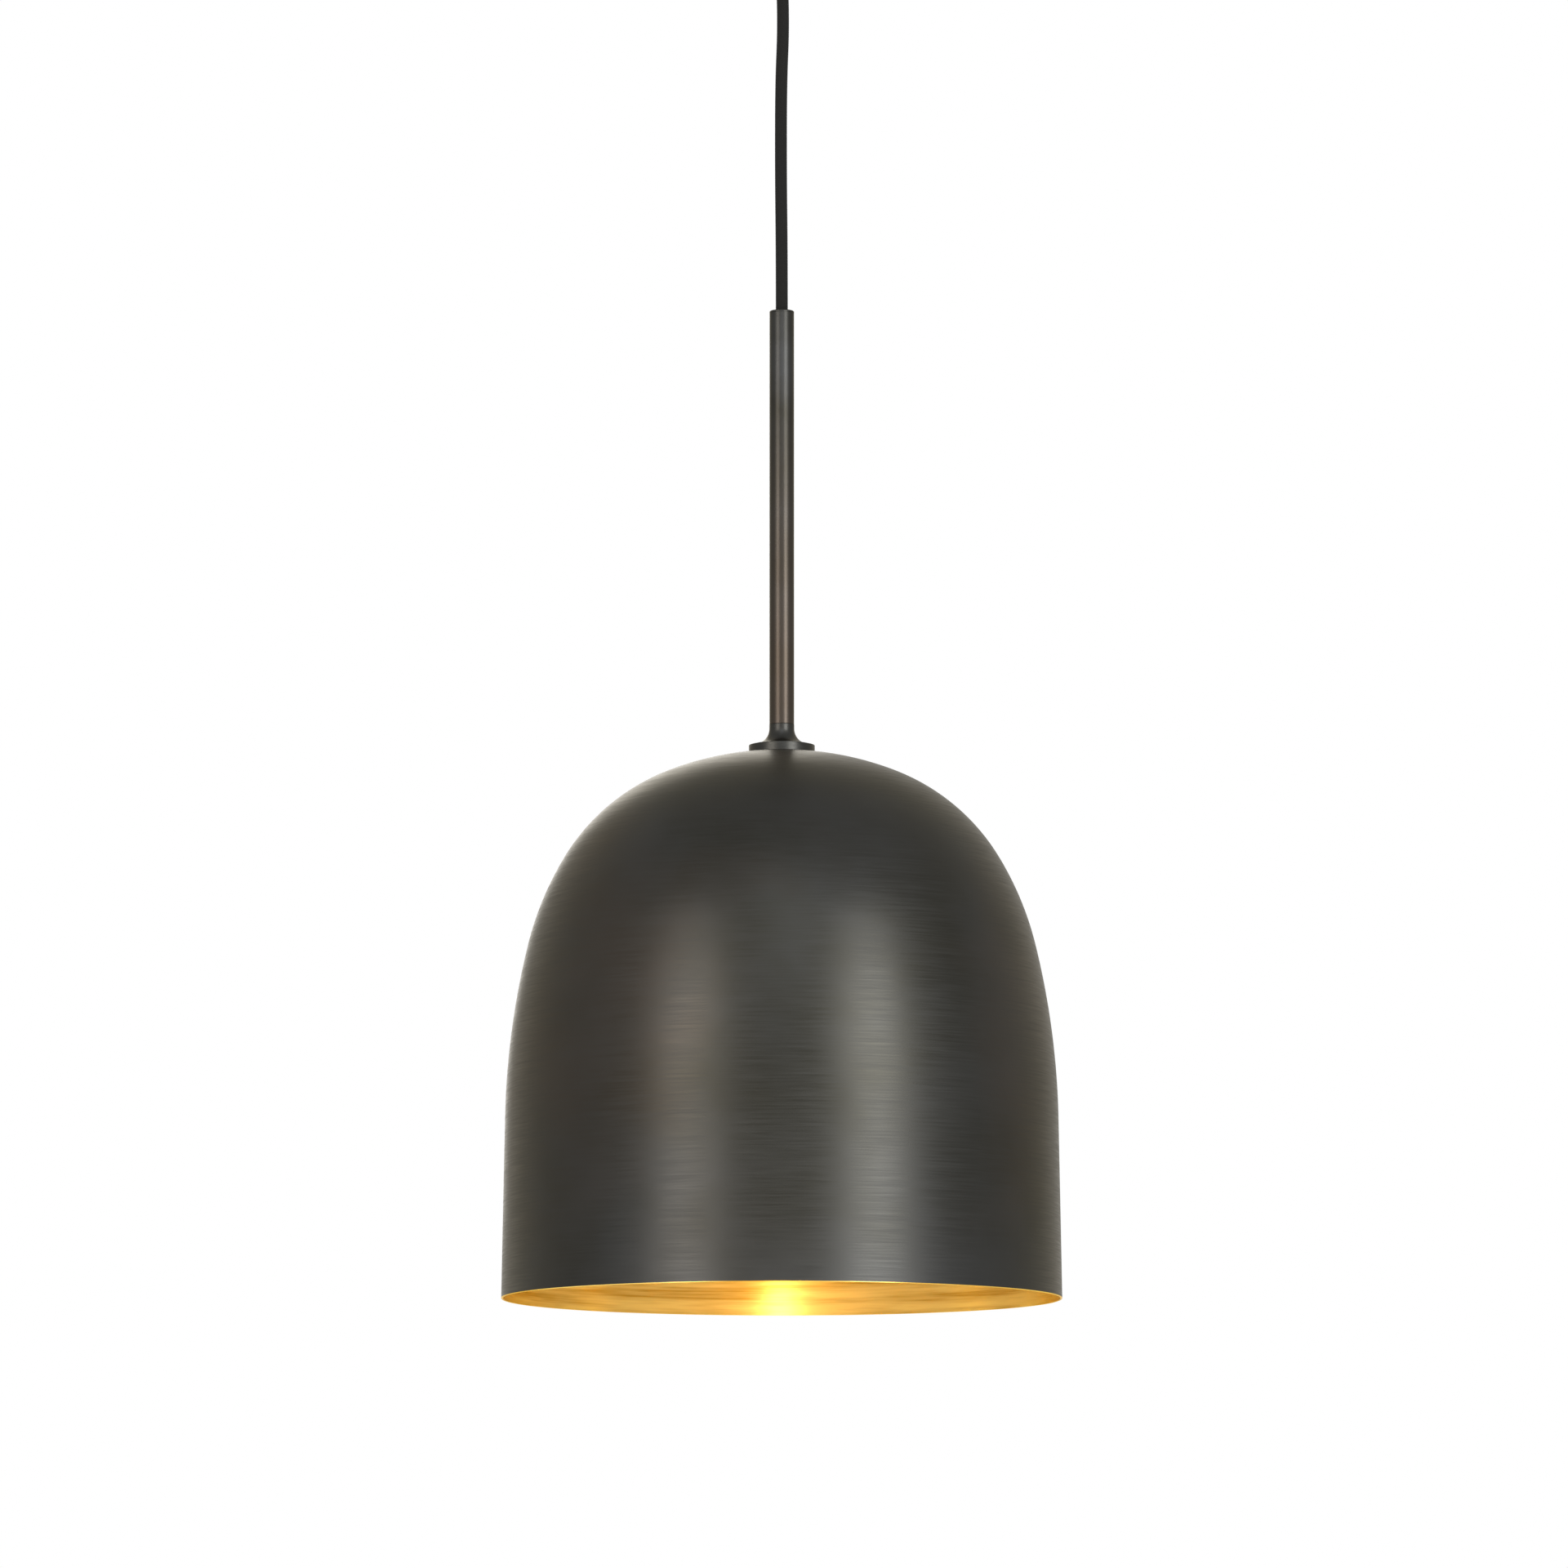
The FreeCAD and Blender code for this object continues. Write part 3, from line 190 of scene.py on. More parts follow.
def grid_patch(points, across, along, wrap_rows, first_pole=False, last_pole=False):
    """Faces over a grid of points whose columns close on themselves.

    Corner (i, j) of the grid is at (across[j], along[i]) on the surface. Rows close on
    themselves too where wrap_rows is set, and an end row that is one point becomes a fan.
    """
    rows, columns = points.shape[:2]
    high = rows - 2 if last_pole else rows - (not wrap_rows)
    i, j = (part.ravel() for part in np.meshgrid(np.arange(int(first_pole), high),
                                                 np.arange(columns), indexing="ij"))
    below, beside = (i + 1) % rows, (j + 1) % columns
    quads = np.stack([i * columns + j, i * columns + beside, below * columns + beside,
                      below * columns + j], 1)
    u = np.stack([across[j], across[j + 1], across[j + 1], across[j]], 1)
    v = np.stack([along[i], along[i], along[i + 1], along[i + 1]], 1)
    faces, places = [quads], [np.stack([u, v], 2).reshape(-1, 2)]
    ring = np.arange(columns)
    ends = ((first_pole, 0, 1, ring + 1, ring), (last_pole, rows - 1, rows - 2, ring, ring + 1))
    for is_pole, tip, near, one, other in ends:
        if is_pole:
            faces.append(np.stack([np.full(columns, tip * columns), near * columns + one % columns,
                                   near * columns + other % columns], 1))
            u = np.stack([(across[ring] + across[ring + 1]) / 2, across[one], across[other]], 1)
            v = np.broadcast_to([along[tip], along[near], along[near]], u.shape)
            places.append(np.stack([u, v], 2).reshape(-1, 2))
    return points.reshape(-1, 3), faces, np.concatenate(places)


def turned(section, columns=128, *ripples, angles=None, lift=None):
    """A section spun about Z: x = r cos a, y = r sin a, z = h, for each point (r, h) of the
    section in millimetres and each angle a. Ripples add to each point's radius, and a lift to
    its height, what they give for the angle, the radius and the height."""
    section = np.asarray(section, float)
    following = np.roll(section, -1, 0)
    if np.sum(section[:, 0] * following[:, 1] - following[:, 0] * section[:, 1]) < 0:
        section = section[::-1]
        following = np.roll(section, -1, 0)
    poles = section[0, 0] < 1e-6, section[-1, 0] < 1e-6
    if angles is None:
        angles = np.linspace(0, FULL_TURN, columns, endpoint=False)
    radius = np.repeat(section[:, :1], len(angles), 1)
    height = np.repeat(section[:, 1:], len(angles), 1)
    angle = np.repeat(angles[None], len(section), 0)
    spot = angle, radius, height
    radius = radius + sum(ripple(*spot) for ripple in ripples)
    if lift is not None:
        height = height + lift(*spot)
    points = np.stack([radius * np.cos(angle), radius * np.sin(angle), height], 2) * MM
    steps = np.linalg.norm(following - section, axis=1) * MM
    along = np.concatenate([[0], np.cumsum(steps)])
    around = np.append(angles, angles[0] + FULL_TURN) * section[:, 0].max() * MM
    return grid_patch(points, around, along, not any(poles), *poles)


def tube(path, radius, columns, reference, ripple=None, domed=False):
    """A round profile carried along a path: centre + radius (side cos a + up sin a).

    Side is square to the path and to the reference direction. A ripple adds to the radius
    what it gives for the angle and the distance along. The first end may be a half sphere.
    """
    path = np.asarray(path, float)
    way = np.gradient(path, axis=0)
    way /= np.linalg.norm(way, axis=1)[:, None]
    along = np.concatenate([[0], np.cumsum(np.linalg.norm(np.diff(path, axis=0), axis=1))])
    angles = np.linspace(0, FULL_TURN, columns, endpoint=False)
    width = np.full((len(path), columns), radius)
    if ripple is not None:
        width = width + ripple(angles[None], along[:, None])
    side = np.cross(way, np.broadcast_to(reference, way.shape))
    side /= np.linalg.norm(side, axis=1)[:, None]
    up = np.cross(side, way)
    quarter = math.pi / 2
    tilt = np.linspace(0, quarter, DOME_STEPS, endpoint=False) if domed else np.zeros(1)
    start = path[0] - way[0] * radius * np.cos(tilt)[:, None] * domed
    path = np.concatenate([start, path, path[-1:]])
    width = np.concatenate([np.sin(tilt)[:, None] * width[0], width, width[-1:] * 0])
    side, up = (np.concatenate([np.repeat(part[:1], len(tilt), 0), part, part[-1:]])
                for part in (side, up))
    along = np.concatenate([radius * (tilt - (quarter if domed else 1)), along,
                            [along[-1] + radius]])
    rim = (side[:, None] * np.cos(angles)[None, :, None]
           + up[:, None] * np.sin(angles)[None, :, None])
    points = path[:, None] + rim * width[:, :, None]
    around = np.linspace(0, FULL_TURN, columns + 1) * radius
    return grid_patch(points[:, ::-1], around, along, False, True, True)


def surface_object(name, patches, material):
    """One object at the origin from patches, with one material."""
    points, corners, sizes, places = [], [], [], []
    offset = 0
    for patch_points, patch_faces, patch_places in patches:
        points.append(patch_points)
        places.append(patch_places)
        for faces in patch_faces:
            corners.append(faces.ravel() + offset)
            sizes.append(np.full(len(faces), faces.shape[1]))
        offset += len(patch_points)
    corners, sizes = np.concatenate(corners), np.concatenate(sizes)
    used, corners = np.unique(corners, return_inverse=True)
    mesh = bpy.data.meshes.new(name)
    mesh.vertices.add(len(used))
    mesh.vertices.foreach_set("co", np.concatenate(points)[used].astype(np.float32).ravel())
    mesh.loops.add(len(corners))
    mesh.loops.foreach_set("vertex_index", corners.astype(np.int32).ravel())
    mesh.polygons.add(len(sizes))
    starts = np.concatenate([[0], np.cumsum(sizes)[:-1]])
    mesh.polygons.foreach_set("loop_start", starts.astype(np.int32))
    mesh.update(calc_edges=True)
    mesh.validate()
    layer = mesh.uv_layers.new(name="surface")
    layer.uv.foreach_set("vector", np.concatenate(places).astype(np.float32).ravel())
    mesh.shade_smooth()
    mesh.set_sharp_from_angle(angle=math.radians(SHARP_ANGLE))
    mesh.materials.append(material)
    item = bpy.data.objects.new(name, mesh)
    bpy.context.scene.collection.objects.link(item)
    return item


def piece(name, patches, body, material, node):
    """One object from patches that stands for a CAD node. It rides on a body, unless that is
    None because it is blended across a joint afterwards."""
    item = surface_object(name, patches, material)
    if body is not None:
        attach(item, body)
    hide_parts(node)
    return item


def smooth_line(name, points, steps):
    """Points along a NURBS line of order 3 that ends at its first and last control points."""
    curve = bpy.data.curves.new(name, "CURVE")
    curve.dimensions = "3D"
    curve.resolution_u = steps
    spline = curve.splines.new("NURBS")
    spline.points.add(len(points) - 1)
    spline.points.foreach_set("co", [part for point in points for part in (*point, 1.0)])
    spline.order_u = 3
    spline.use_endpoint_u = True
    holder = bpy.data.objects.new(name, curve)
    bpy.context.scene.collection.objects.link(holder)
    bpy.context.view_layer.update()
    seen = bpy.context.evaluated_depsgraph_get()
    line = bpy.data.meshes.new_from_object(holder.evaluated_get(seen))
    found = np.zeros(len(line.vertices) * 3)
    line.vertices.foreach_get("co", found)
    bpy.data.objects.remove(holder)
    bpy.data.curves.remove(curve)
    bpy.data.meshes.remove(line)
    return found.reshape(-1, 3)


# Materials

def add(tree, kind, inputs=None, **settings):
    """Adds a node, with its settings, and sets or links each of its inputs."""
    node = tree.nodes.new("ShaderNode" + kind)
    for name, setting in settings.items():
        setattr(node, name, setting)
    for name, given in (inputs or {}).items():
        if isinstance(given, bpy.types.NodeSocket):
            tree.links.new(given, node.inputs[name])
        else:
            node.inputs[name].default_value = given
    return node


def finish(build):
    """Makes a function of an empty node tree into one that gives the material of its name,
    built the first time that it is asked for."""
    def found():
        material = bpy.data.materials.get(build.__name__)
        if material is None:
            material = bpy.data.materials.new(build.__name__)
            material.use_nodes = True
            material.node_tree.nodes.clear()
            build(material.node_tree)
        return material
    found.__doc__ = build.__doc__
    return found


def patches(tree, size, first, last, low=0.3, high=0.7):
    """Two tones in soft patches about a size across in millimetres, with the noise that shares
    them out: the second tone is full where the noise is over high, the first where under low."""
    place = add(tree, "TexCoord").outputs["Object"]
    noise = add(tree, "TexNoise", {"Vector": place, "Scale": 1 / (size * MM), "Detail": 3.0})
    share = add(tree, "MapRange", {0: noise.outputs[0], 1: low, 2: high})
    tone = add(tree, "Mix", {0: share.outputs[0], 6: first, 7: last}, data_type="RGBA")
    return tone.outputs[2], noise.outputs[0]


def lathe_lines(tree, spacing, sweep):
    """Noise drawn out round the Z axis, as a tool or an abrasive pad leaves on a turning piece.

    It reads the direction from the axis and the distance along the section, so that it has no
    seam: spacing is across the lines in millimetres, sweep how many degrees a line runs.
    """
    place = add(tree, "TexCoord").outputs["Object"]
    flat = add(tree, "VectorMath", {0: place, 1: (1, 1, 0)}, operation="MULTIPLY").outputs[0]
    aim = add(tree, "VectorMath", {0: flat}, operation="NORMALIZE").outputs[0]
    wide = 1 / math.radians(sweep)
    round_axis = add(tree, "VectorMath", {0: aim, 1: (wide, wide, 0)}, operation="MULTIPLY")
    surface = add(tree, "UVMap", uv_map="surface").outputs[0]
    down = add(tree, "VectorMath", {0: surface, 1: (0, 1 / (spacing * MM), 0)},
               operation="MULTIPLY")
    split = add(tree, "SeparateXYZ", {0: down.outputs[0]})
    rise = add(tree, "CombineXYZ", {2: split.outputs[1]})
    spot = add(tree, "VectorMath", {0: round_axis.outputs[0], 1: rise.outputs[0]}, operation="ADD")
    lines = add(tree, "TexNoise", {"Vector": spot.outputs[0], "Scale": 1.0, "Detail": 3.0,
                                   "Roughness": 0.6})
    return lines.outputs[0]


def drawn_lines(tree, across, along):
    """Noise drawn out along Z, from how often it changes in a metre across and along."""
    place = add(tree, "TexCoord").outputs["Object"]
    drawn = add(tree, "VectorMath", {0: place, 1: (across, across, along)}, operation="MULTIPLY")
    lines = add(tree, "TexNoise", {"Vector": drawn.outputs[0], "Scale": 1.0, "Detail": 2.0})
    return lines.outputs[0]


def finished(tree, tone, grain, smooth, rough, depth, strength, **inputs):
    """The whole surface in a tone: where the grain rises from 0.3 to 0.7 the roughness goes
    from smooth to rough, and the grain stands up to a depth in millimetres."""
    roughness = add(tree, "MapRange", {0: grain, 1: 0.3, 2: 0.7, 3: smooth, 4: rough})
    lifted = add(tree, "Bump", {"Height": grain, "Distance": depth * MM, "Strength": strength})
    named = {name.replace("_", " "): given for name, given in inputs.items()}
    shader = add(tree, "BsdfPrincipled", {"Base Color": tone, "Roughness": roughness.outputs[0],
                                          "Normal": lifted.outputs[0], **named})
    add(tree, "OutputMaterial", {"Surface": shader.outputs[0]})


@finish
def dark_bronze_on_spun_metal(tree):
    """Dark oil-rubbed bronze on a spun shade: low, slightly warm reflections that turn pale at
    the edges, drawn tall by fine level lines left by the lathe."""
    paint = bpy.context.scene.pendant_colours
    # Lathe lines are 0.1 to 0.3 mm apart; drawn 0.8 mm apart so that they show.
    lines = lathe_lines(tree, 0.8, 14)
    rubbed, _ = patches(tree, 95, paint.bronze_dark, paint.bronze_light)
    brown, _ = patches(tree, 210, rubbed, paint.bronze_warm, 0.42, 0.82)
    share = add(tree, "MapRange", {0: lines, 1: 0.35, 2: 0.7, 3: 0.0, 4: 0.35}).outputs[0]
    tone = add(tree, "Mix", {0: share, 6: brown, 7: paint.bronze_light}, data_type="RGBA")
    finished(tree, tone.outputs[2], lines, 0.34, 0.44, 0.012, 0.5, Metallic=1.0,
             Specular_Tint=linear(BRONZE_EDGE))


@finish
def dark_bronze_on_turned_metal(tree):
    """The same bronze on drawn and turned parts: smoother, with tighter highlights."""
    paint = bpy.context.scene.pendant_colours
    rubbed, _ = patches(tree, 34, paint.bronze_dark, paint.bronze_light)
    place = add(tree, "TexCoord").outputs["Object"]
    # A brighter, browner tone mixes in towards the stem's foot: painted light, standing for the
    # stronger light that falls low on the stem.
    level = add(tree, "SeparateXYZ", {0: place}).outputs[2]
    low = add(tree, "MapRange", {0: level, 1: -0.30, 2: -0.46, 3: 0.0, 4: 0.7}).outputs[0]
    tone = add(tree, "Mix", {0: low, 6: rubbed, 7: paint.bronze_warm}, data_type="RGBA")
    # Drawing lines run along the stem, 0.1 mm apart; drawn 0.5 mm apart.
    finished(tree, tone.outputs[2], drawn_lines(tree, 2000, 12), 0.34, 0.42, 0.004, 0.4,
             Metallic=1.0, Specular_Tint=linear(BRONZE_EDGE))


@finish
def brushed_lacquered_brass(tree):
    """Brushed lacquered brass: gold, with level streaks that pull the lamp's light into a tall
    bright bar."""
    paint = bpy.context.scene.pendant_colours
    # Brush marks are 0.2 mm apart; drawn 1.1 mm apart so that they show as streaks.
    lines = lathe_lines(tree, 1.1, 22)
    broad = lathe_lines(tree, 6.0, 40)
    share = add(tree, "MapRange", {0: broad, 1: 0.4, 2: 0.6}).outputs[0]
    streak = add(tree, "Mix", {0: share, 6: paint.brass_dark, 7: paint.brass_light},
                 data_type="RGBA").outputs[2]
    share = add(tree, "MapRange", {0: lines, 1: 0.35, 2: 0.65, 3: 0.0, 4: 0.6}).outputs[0]
    tone = add(tree, "Mix", {0: share, 6: streak, 7: paint.brass_light}, data_type="RGBA")
    around = add(tree, "Tangent", direction_type="UV_MAP", uv_map="surface").outputs[0]
    finished(tree, tone.outputs[2], lines, 0.36, 0.46, 0.02, 0.6, Metallic=1.0, Tangent=around,
             Anisotropic=0.9, Anisotropic_Rotation=0.25, Specular_Tint=linear(BRASS_EDGE))


def plain_metal(tree, dark, light, roughness, grain):
    """A small machined or pressed metal part: two close tones, and roughness that follows a
    fine grain of a size in millimetres."""
    tone, marks = patches(tree, grain, linear(dark), linear(light))
    finished(tree, tone, marks, roughness * 0.85, roughness * 1.2, 0.01, 0.4, Metallic=1.0)


def plain_solid(tree, dark, light, roughness, grain, depth, ior=1.5, **more):
    """A moulded, glazed or sleeved part: two close tones, its surface grain in millimetres."""
    tone, marks = patches(tree, grain, linear(dark), linear(light))
    finished(tree, tone, marks, roughness * 0.9, roughness * 1.15, depth, 0.5, IOR=ior, **more)


@finish
def machined_brass(tree):
    """Plain turned brass: yellow and fairly bright, with a fine tool grain."""
    plain_metal(tree, "#b38b45", "#d3ad63", 0.3, 0.5)


@finish
def zinc_plated_steel(tree):
    """Zinc-plated pressed steel: cool grey, softly mottled."""
    plain_metal(tree, "#9ea1a3", "#c3c6c8", 0.36, 0.8)


@finish
def nickel_plated_brass(tree):
    """Nickel-plated brass, thin and rolled: pale, clean reflections."""
    plain_metal(tree, "#b9b4a8", "#d6d2c8", 0.22, 0.4)


@finish
def solder(tree):
    """Cast solder: dull grey with a soft shine."""
    plain_metal(tree, "#8f9193", "#b0b2b4", 0.45, 0.3)


@finish
def moulded_white_nylon(tree):
    """Moulded polyamide: milky white, slightly waxy."""
    plain_solid(tree, "#dedcd4", "#ecebe5", 0.42, 0.6, 0.01, Subsurface_Weight=0.15,
                Subsurface_Scale=0.002)


@finish
def moulded_black_nylon(tree):
    """Moulded black polyamide: dark grey, fine spark-eroded grain."""
    plain_solid(tree, "#1a1a1b", "#262627", 0.5, 0.35, 0.02)


@finish
def glazed_steatite(tree):
    """Steatite with a thin glaze: warm white with small pits."""
    plain_solid(tree, "#dcd8cc", "#f0ede4", 0.25, 1.2, 0.02, 1.52, Coat_Weight=0.4,
                Coat_Roughness=0.12)


@finish
def pressed_black_glass(tree):
    """Pressed black glass: deep and very glossy."""
    plain_solid(tree, "#0b0b0c", "#141416", 0.08, 1.5, 0.01, 1.52)


@finish
def brown_pvc(tree):
    """An extruded PVC sleeve: satin brown, even colour."""
    plain_solid(tree, "#4a2a18", "#5c3520", 0.4, 0.7, 0.01, 1.53)


@finish
def blue_pvc(tree):
    """An extruded PVC sleeve: satin blue, even colour."""
    plain_solid(tree, "#1f56a8", "#2c66bb", 0.4, 0.7, 0.01, 1.53)


@finish
def green_and_yellow_pvc(tree):
    """The earth's extruded PVC sleeve: green with a yellow stripe down each side."""
    surface = add(tree, "UVMap", uv_map="surface").outputs[0]
    # Two yellow stripes round a sleeve 2.2 mm across, which is 6.9 mm round.
    scaled = add(tree, "VectorMath", {0: surface, 1: (FULL_TURN * 2 / 0.0069, 0, 0)},
                 operation="MULTIPLY")
    split = add(tree, "SeparateXYZ", {0: scaled.outputs[0]})
    wave = add(tree, "Math", {0: split.outputs[0]}, operation="SINE").outputs[0]
    share = add(tree, "MapRange", {0: wave, 1: 0.2, 2: 0.3}).outputs[0]
    green, marks = patches(tree, 0.7, linear("#2c7837"), linear("#33853e"))
    tone = add(tree, "Mix", {0: share, 6: green, 7: linear("#e2c52e")}, data_type="RGBA")
    finished(tree, tone.outputs[2], marks, 0.36, 0.46, 0.01, 0.4, IOR=1.53)


@finish
def braided_black_cloth(tree):
    """A braided textile cover in near black: matt, with a soft sheen on each strand."""
    paint = bpy.context.scene.pendant_colours
    # Yarn filaments run mostly along the cord and are 0.05 mm wide; drawn 0.25 mm wide.
    yarn = drawn_lines(tree, 4000, 500)
    share = add(tree, "MapRange", {0: yarn, 1: 0.35, 2: 0.7}).outputs[0]
    tone = add(tree, "Mix", {0: share, 6: paint.cord_dark, 7: paint.cord_light},
               data_type="RGBA")
    finished(tree, tone.outputs[2], yarn, 0.7, 0.9, 0.05, 0.6, Sheen_Weight=0.02,
             Sheen_Roughness=0.5, Specular_IOR_Level=0.12)


@finish
def lit_opal_glass(tree):
    """Thin opal glass with the bulb lit: a warm white glow, with the hotter strips showing
    through it."""
    tone, milk = patches(tree, 25, linear("#f4efe4"), linear("#fffaf0"))
    finished(tree, tone, milk, 0.16, 0.24, 0.02, 0.2, IOR=1.5, Alpha=0.55,
             Emission_Color=bpy.context.scene.pendant_colours.lamp_light,
             Emission_Strength=GLASS_GLOW)


@finish
def filament_phosphor(tree):
    """A coated filament strip behind the opal glass: warm yellow and very bright."""
    tone, grit = patches(tree, 0.6, linear("#ffcf7e"), linear("#ffe0a6"))
    finished(tree, tone, grit, 0.5, 0.7, 0.02, 0.5, Emission_Color=tone,
             Emission_Strength=STRIP_GLOW)


@finish
def clear_pressed_glass(tree):
    """Clear pressed glass for the bulb's mount: colourless, with faint waves."""
    tone, waves = patches(tree, 6, linear("#f3f8f5"), linear("#f8fbfa"))
    finished(tree, tone, waves, 0.02, 0.06, 0.05, 0.3, IOR=1.52, Transmission_Weight=1.0)


@finish
def matt_white_floor(tree):
    """Matt white floor paint: very pale, evenly rolled, and seen through from underneath."""
    floor = bpy.context.scene.pendant_colours.floor
    tone, _ = patches(tree, 400, floor, linear("#fafaf9"))
    shader = add(tree, "BsdfPrincipled", {"Base Color": tone, "Roughness": 0.8})
    clear = add(tree, "BsdfTransparent")
    below = add(tree, "NewGeometry").outputs["Backfacing"]
    either = add(tree, "MixShader", {0: below, 1: shader.outputs[0], 2: clear.outputs[0]})
    add(tree, "OutputMaterial", {"Surface": either.outputs[0]})


# Levels and sections that several pieces share, all in millimetres

def node_box(node):
    """A CAD node's reach, lowest height and highest height in millimetres."""
    low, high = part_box(node)
    return high.x / MM, low.z / MM, high.z / MM


def shade_line(inset):
    """The bell's section from crown to rim, drawn in square to itself by an inset.

    Four arcs meet with one tangent: each point is centre + (bend - inset) (sin t, cos t), and
    each centre lies on the last arc's end radius. The foot is straight from the last arc's
    tangent to the rim.
    """
    reach, low, high = node_box("shade")
    apex = high + SHADE_BENDS[0] - math.sqrt(SHADE_BENDS[0] ** 2 - SHADE_HOLE ** 2)
    centre = np.array([0.0, apex - SHADE_BENDS[0]])
    start = math.asin(SHADE_HOLE / (SHADE_BENDS[0] - inset))
    runs = []
    for number, bend in enumerate(SHADE_BENDS):
        if number < len(SHADE_ENDS):
            finish = math.asin((SHADE_ENDS[number] - centre[0]) / bend)
        else:
            rim = np.array([reach, low]) - centre
            finish = math.pi / 2 - (math.atan2(rim[1], rim[0])
                                    + math.acos(bend / np.linalg.norm(rim)))
        turn = np.linspace(start, finish, SHADE_STEPS[number], endpoint=False)
        arc = np.stack([np.sin(turn), np.cos(turn)], 1)
        runs.append(centre + (bend - inset) * arc)
        aim = np.array([math.sin(finish), math.cos(finish)])
        if number < len(SHADE_ENDS):
            centre = centre + aim * (bend - SHADE_BENDS[number + 1])
        start = finish
    foot = np.array([reach - inset, low])
    top = centre + (SHADE_BENDS[-1] - inset) * aim
    runs.append(top + (foot - top) * np.linspace(0, 1, SHADE_STEPS[-1])[:, None])
    return np.concatenate(runs)


# Operators

class BuildCords(bpy.types.Operator):
    """Makes the braided cord that carries the lamp, and dresses its hidden lengths"""

    bl_idname = "pendant.cords"
    bl_label = "Cords"

    def execute(self, context):
        sizes = context.scene.pendant_sizes
        radius = sizes.cord_diameter / 2 - sizes.braid_depth / 2
        route = [(0, 0, -0.054), (0.0001, 0, -0.078), (0.0009, 0, -0.107), (-0.0004, 0, -0.138),
                 (-0.0005, 0, -0.188), (0, 0, -0.232), (0, 0, -0.264)]
        steps_between, columns = 130, 96
        line = smooth_line("cord_line", route, steps_between)
        strands, lay = 24, 24.0 * MM

        def braid(angle, along):
            """Strands crossing over and under: the product of two waves that climb the cord
            in opposite helices."""
            climbed = angle + FULL_TURN * along / lay, angle - FULL_TURN * along / lay
            over = np.sin(strands / 2 * climbed[0]) * np.sin(strands / 2 * climbed[1])
            return sizes.braid_depth * (0.5 + 0.5 * over)

        patch = tube(line, radius, columns, (1.0, 0.0, 0.0), braid, domed=True)
        cord = piece("braided_cord", [patch], "pendant", braided_black_cloth(),
                     "hanging_cord")
        return {"FINISHED"}


class BuildShade(bpy.types.Operator):
    """Makes the bell: a bronzed skin outside, brushed brass inside and a bare edge on the rim"""

    bl_idname = "pendant.shade"
    bl_label = "Shade"

    def execute(self, context):
        sizes = context.scene.pendant_sizes
        wall, bare = sizes.shade_wall / MM, sizes.bare_edge / MM
        outer, inner = shade_line(0), shade_line(wall)
        middle = shade_line(wall / 2)
        low = outer[-1, 1]
        skin = outer.copy()
        skin[-1, 1] = low + bare
        lining = middle.copy()
        lining[-1, 1] = low + bare
        outside = np.concatenate([skin, lining[::-1]])
        piece("shade_outside", [turned(outside, SHADE_COLUMNS)], "pendant",
              dark_bronze_on_spun_metal(), "shade")
        # The cut edge is broken by a file on both sides, 0.15 mm wide.
        edge = 0.15
        foot = np.array([[inner[-1, 0], low + edge], [inner[-1, 0] + edge, low],
                         [outer[-1, 0] - edge, low], [outer[-1, 0], low + edge],
                         [outer[-1, 0], low + bare], [lining[-1, 0], low + bare]])
        inside = np.concatenate([inner[:-1], foot, lining[:-1][::-1]])
        piece("shade_inside", [turned(inside, SHADE_COLUMNS)], "pendant",
              brushed_lacquered_brass(), "shade")
        return {"FINISHED"}


class BuildStem(bpy.types.Operator):
    """Makes the stem's cap, tube, flared coupler and the cover disc on the crown"""

    bl_idname = "pendant.stem"
    bl_label = "Stem"

    def execute(self, context):
        bronze, spun = dark_bronze_on_turned_metal(), dark_bronze_on_spun_metal()
        reach, low, high = node_box("stem_cap")
        hole, spigot, flange = 3.4, 5.0, high - 1.1
        cap = rounded([(hole, low), (spigot, low), (spigot, flange), (reach, flange),
                       (reach, high, 0.55), (hole, high, 0.12)])
        piece("stem_end_cap", [turned(cap, STEM_COLUMNS)], "pendant", bronze,
              "stem_cap")
        reach, low, high = node_box("stem_tube")
        bore, thread, top, foot = 4.5, STEM_BORE, high - 16, low + 12
        pipe = rounded([(thread, low), (reach, low, 0.2), (reach, high, 0.2), (thread, high),
                        (thread, top), (bore, top), (bore, foot), (thread, foot)])
        piece("stem", [turned(pipe, STEM_COLUMNS)], "pendant", bronze, "stem_tube")
        reach, low, high = node_box("flared_coupler")
        neck, flare, land = 6.73, 8.6, 0.5
        coupler = rounded([(thread, low), (neck + flare, low, 0.1), (neck + flare, low + land),
                           (neck, low + land, flare - 0.01), (neck, high, 0.2), (thread, high)],
                          16)
        piece("flared_collar", [turned(coupler, STEM_COLUMNS)], "pendant", spun,
              "flared_coupler")
        reach, low, high = node_box("cover_disc")
        recess, lip, thick = reach - 1.5, 0.15, 3.3
        disc = rounded([(SHADE_HOLE, high - thick), (recess, high - thick), (recess, low + lip),
                        (reach, low), (reach, high, 0.3), (SHADE_HOLE, high)])
        piece("crown_disc", [turned(disc)], "pendant", spun, "cover_disc")
        return {"FINISHED"}


def knurled(depth, count, low, high, beyond):
    """A ripple of upright ridges between two heights, on what is beyond a radius."""
    def ripple(angle, radius, height):
        inside = (height > low) & (height < high) & (radius > beyond)
        return -depth * (0.5 - 0.5 * np.cos(count * angle)) * inside
    return ripple


def threaded(depth, pitch, low, high, fade, beyond=0.0):
    """A ripple that winds up the axis once each pitch and fades out near both heights, on what
    is beyond a radius."""
    def ripple(angle, radius, height):
        ease = np.clip(np.minimum(height - low, high - height) / fade, 0, 1)
        wave = 0.5 - 0.5 * np.cos(angle - FULL_TURN * height / pitch)
        return -depth * wave * ease * (radius > beyond)
    return ripple


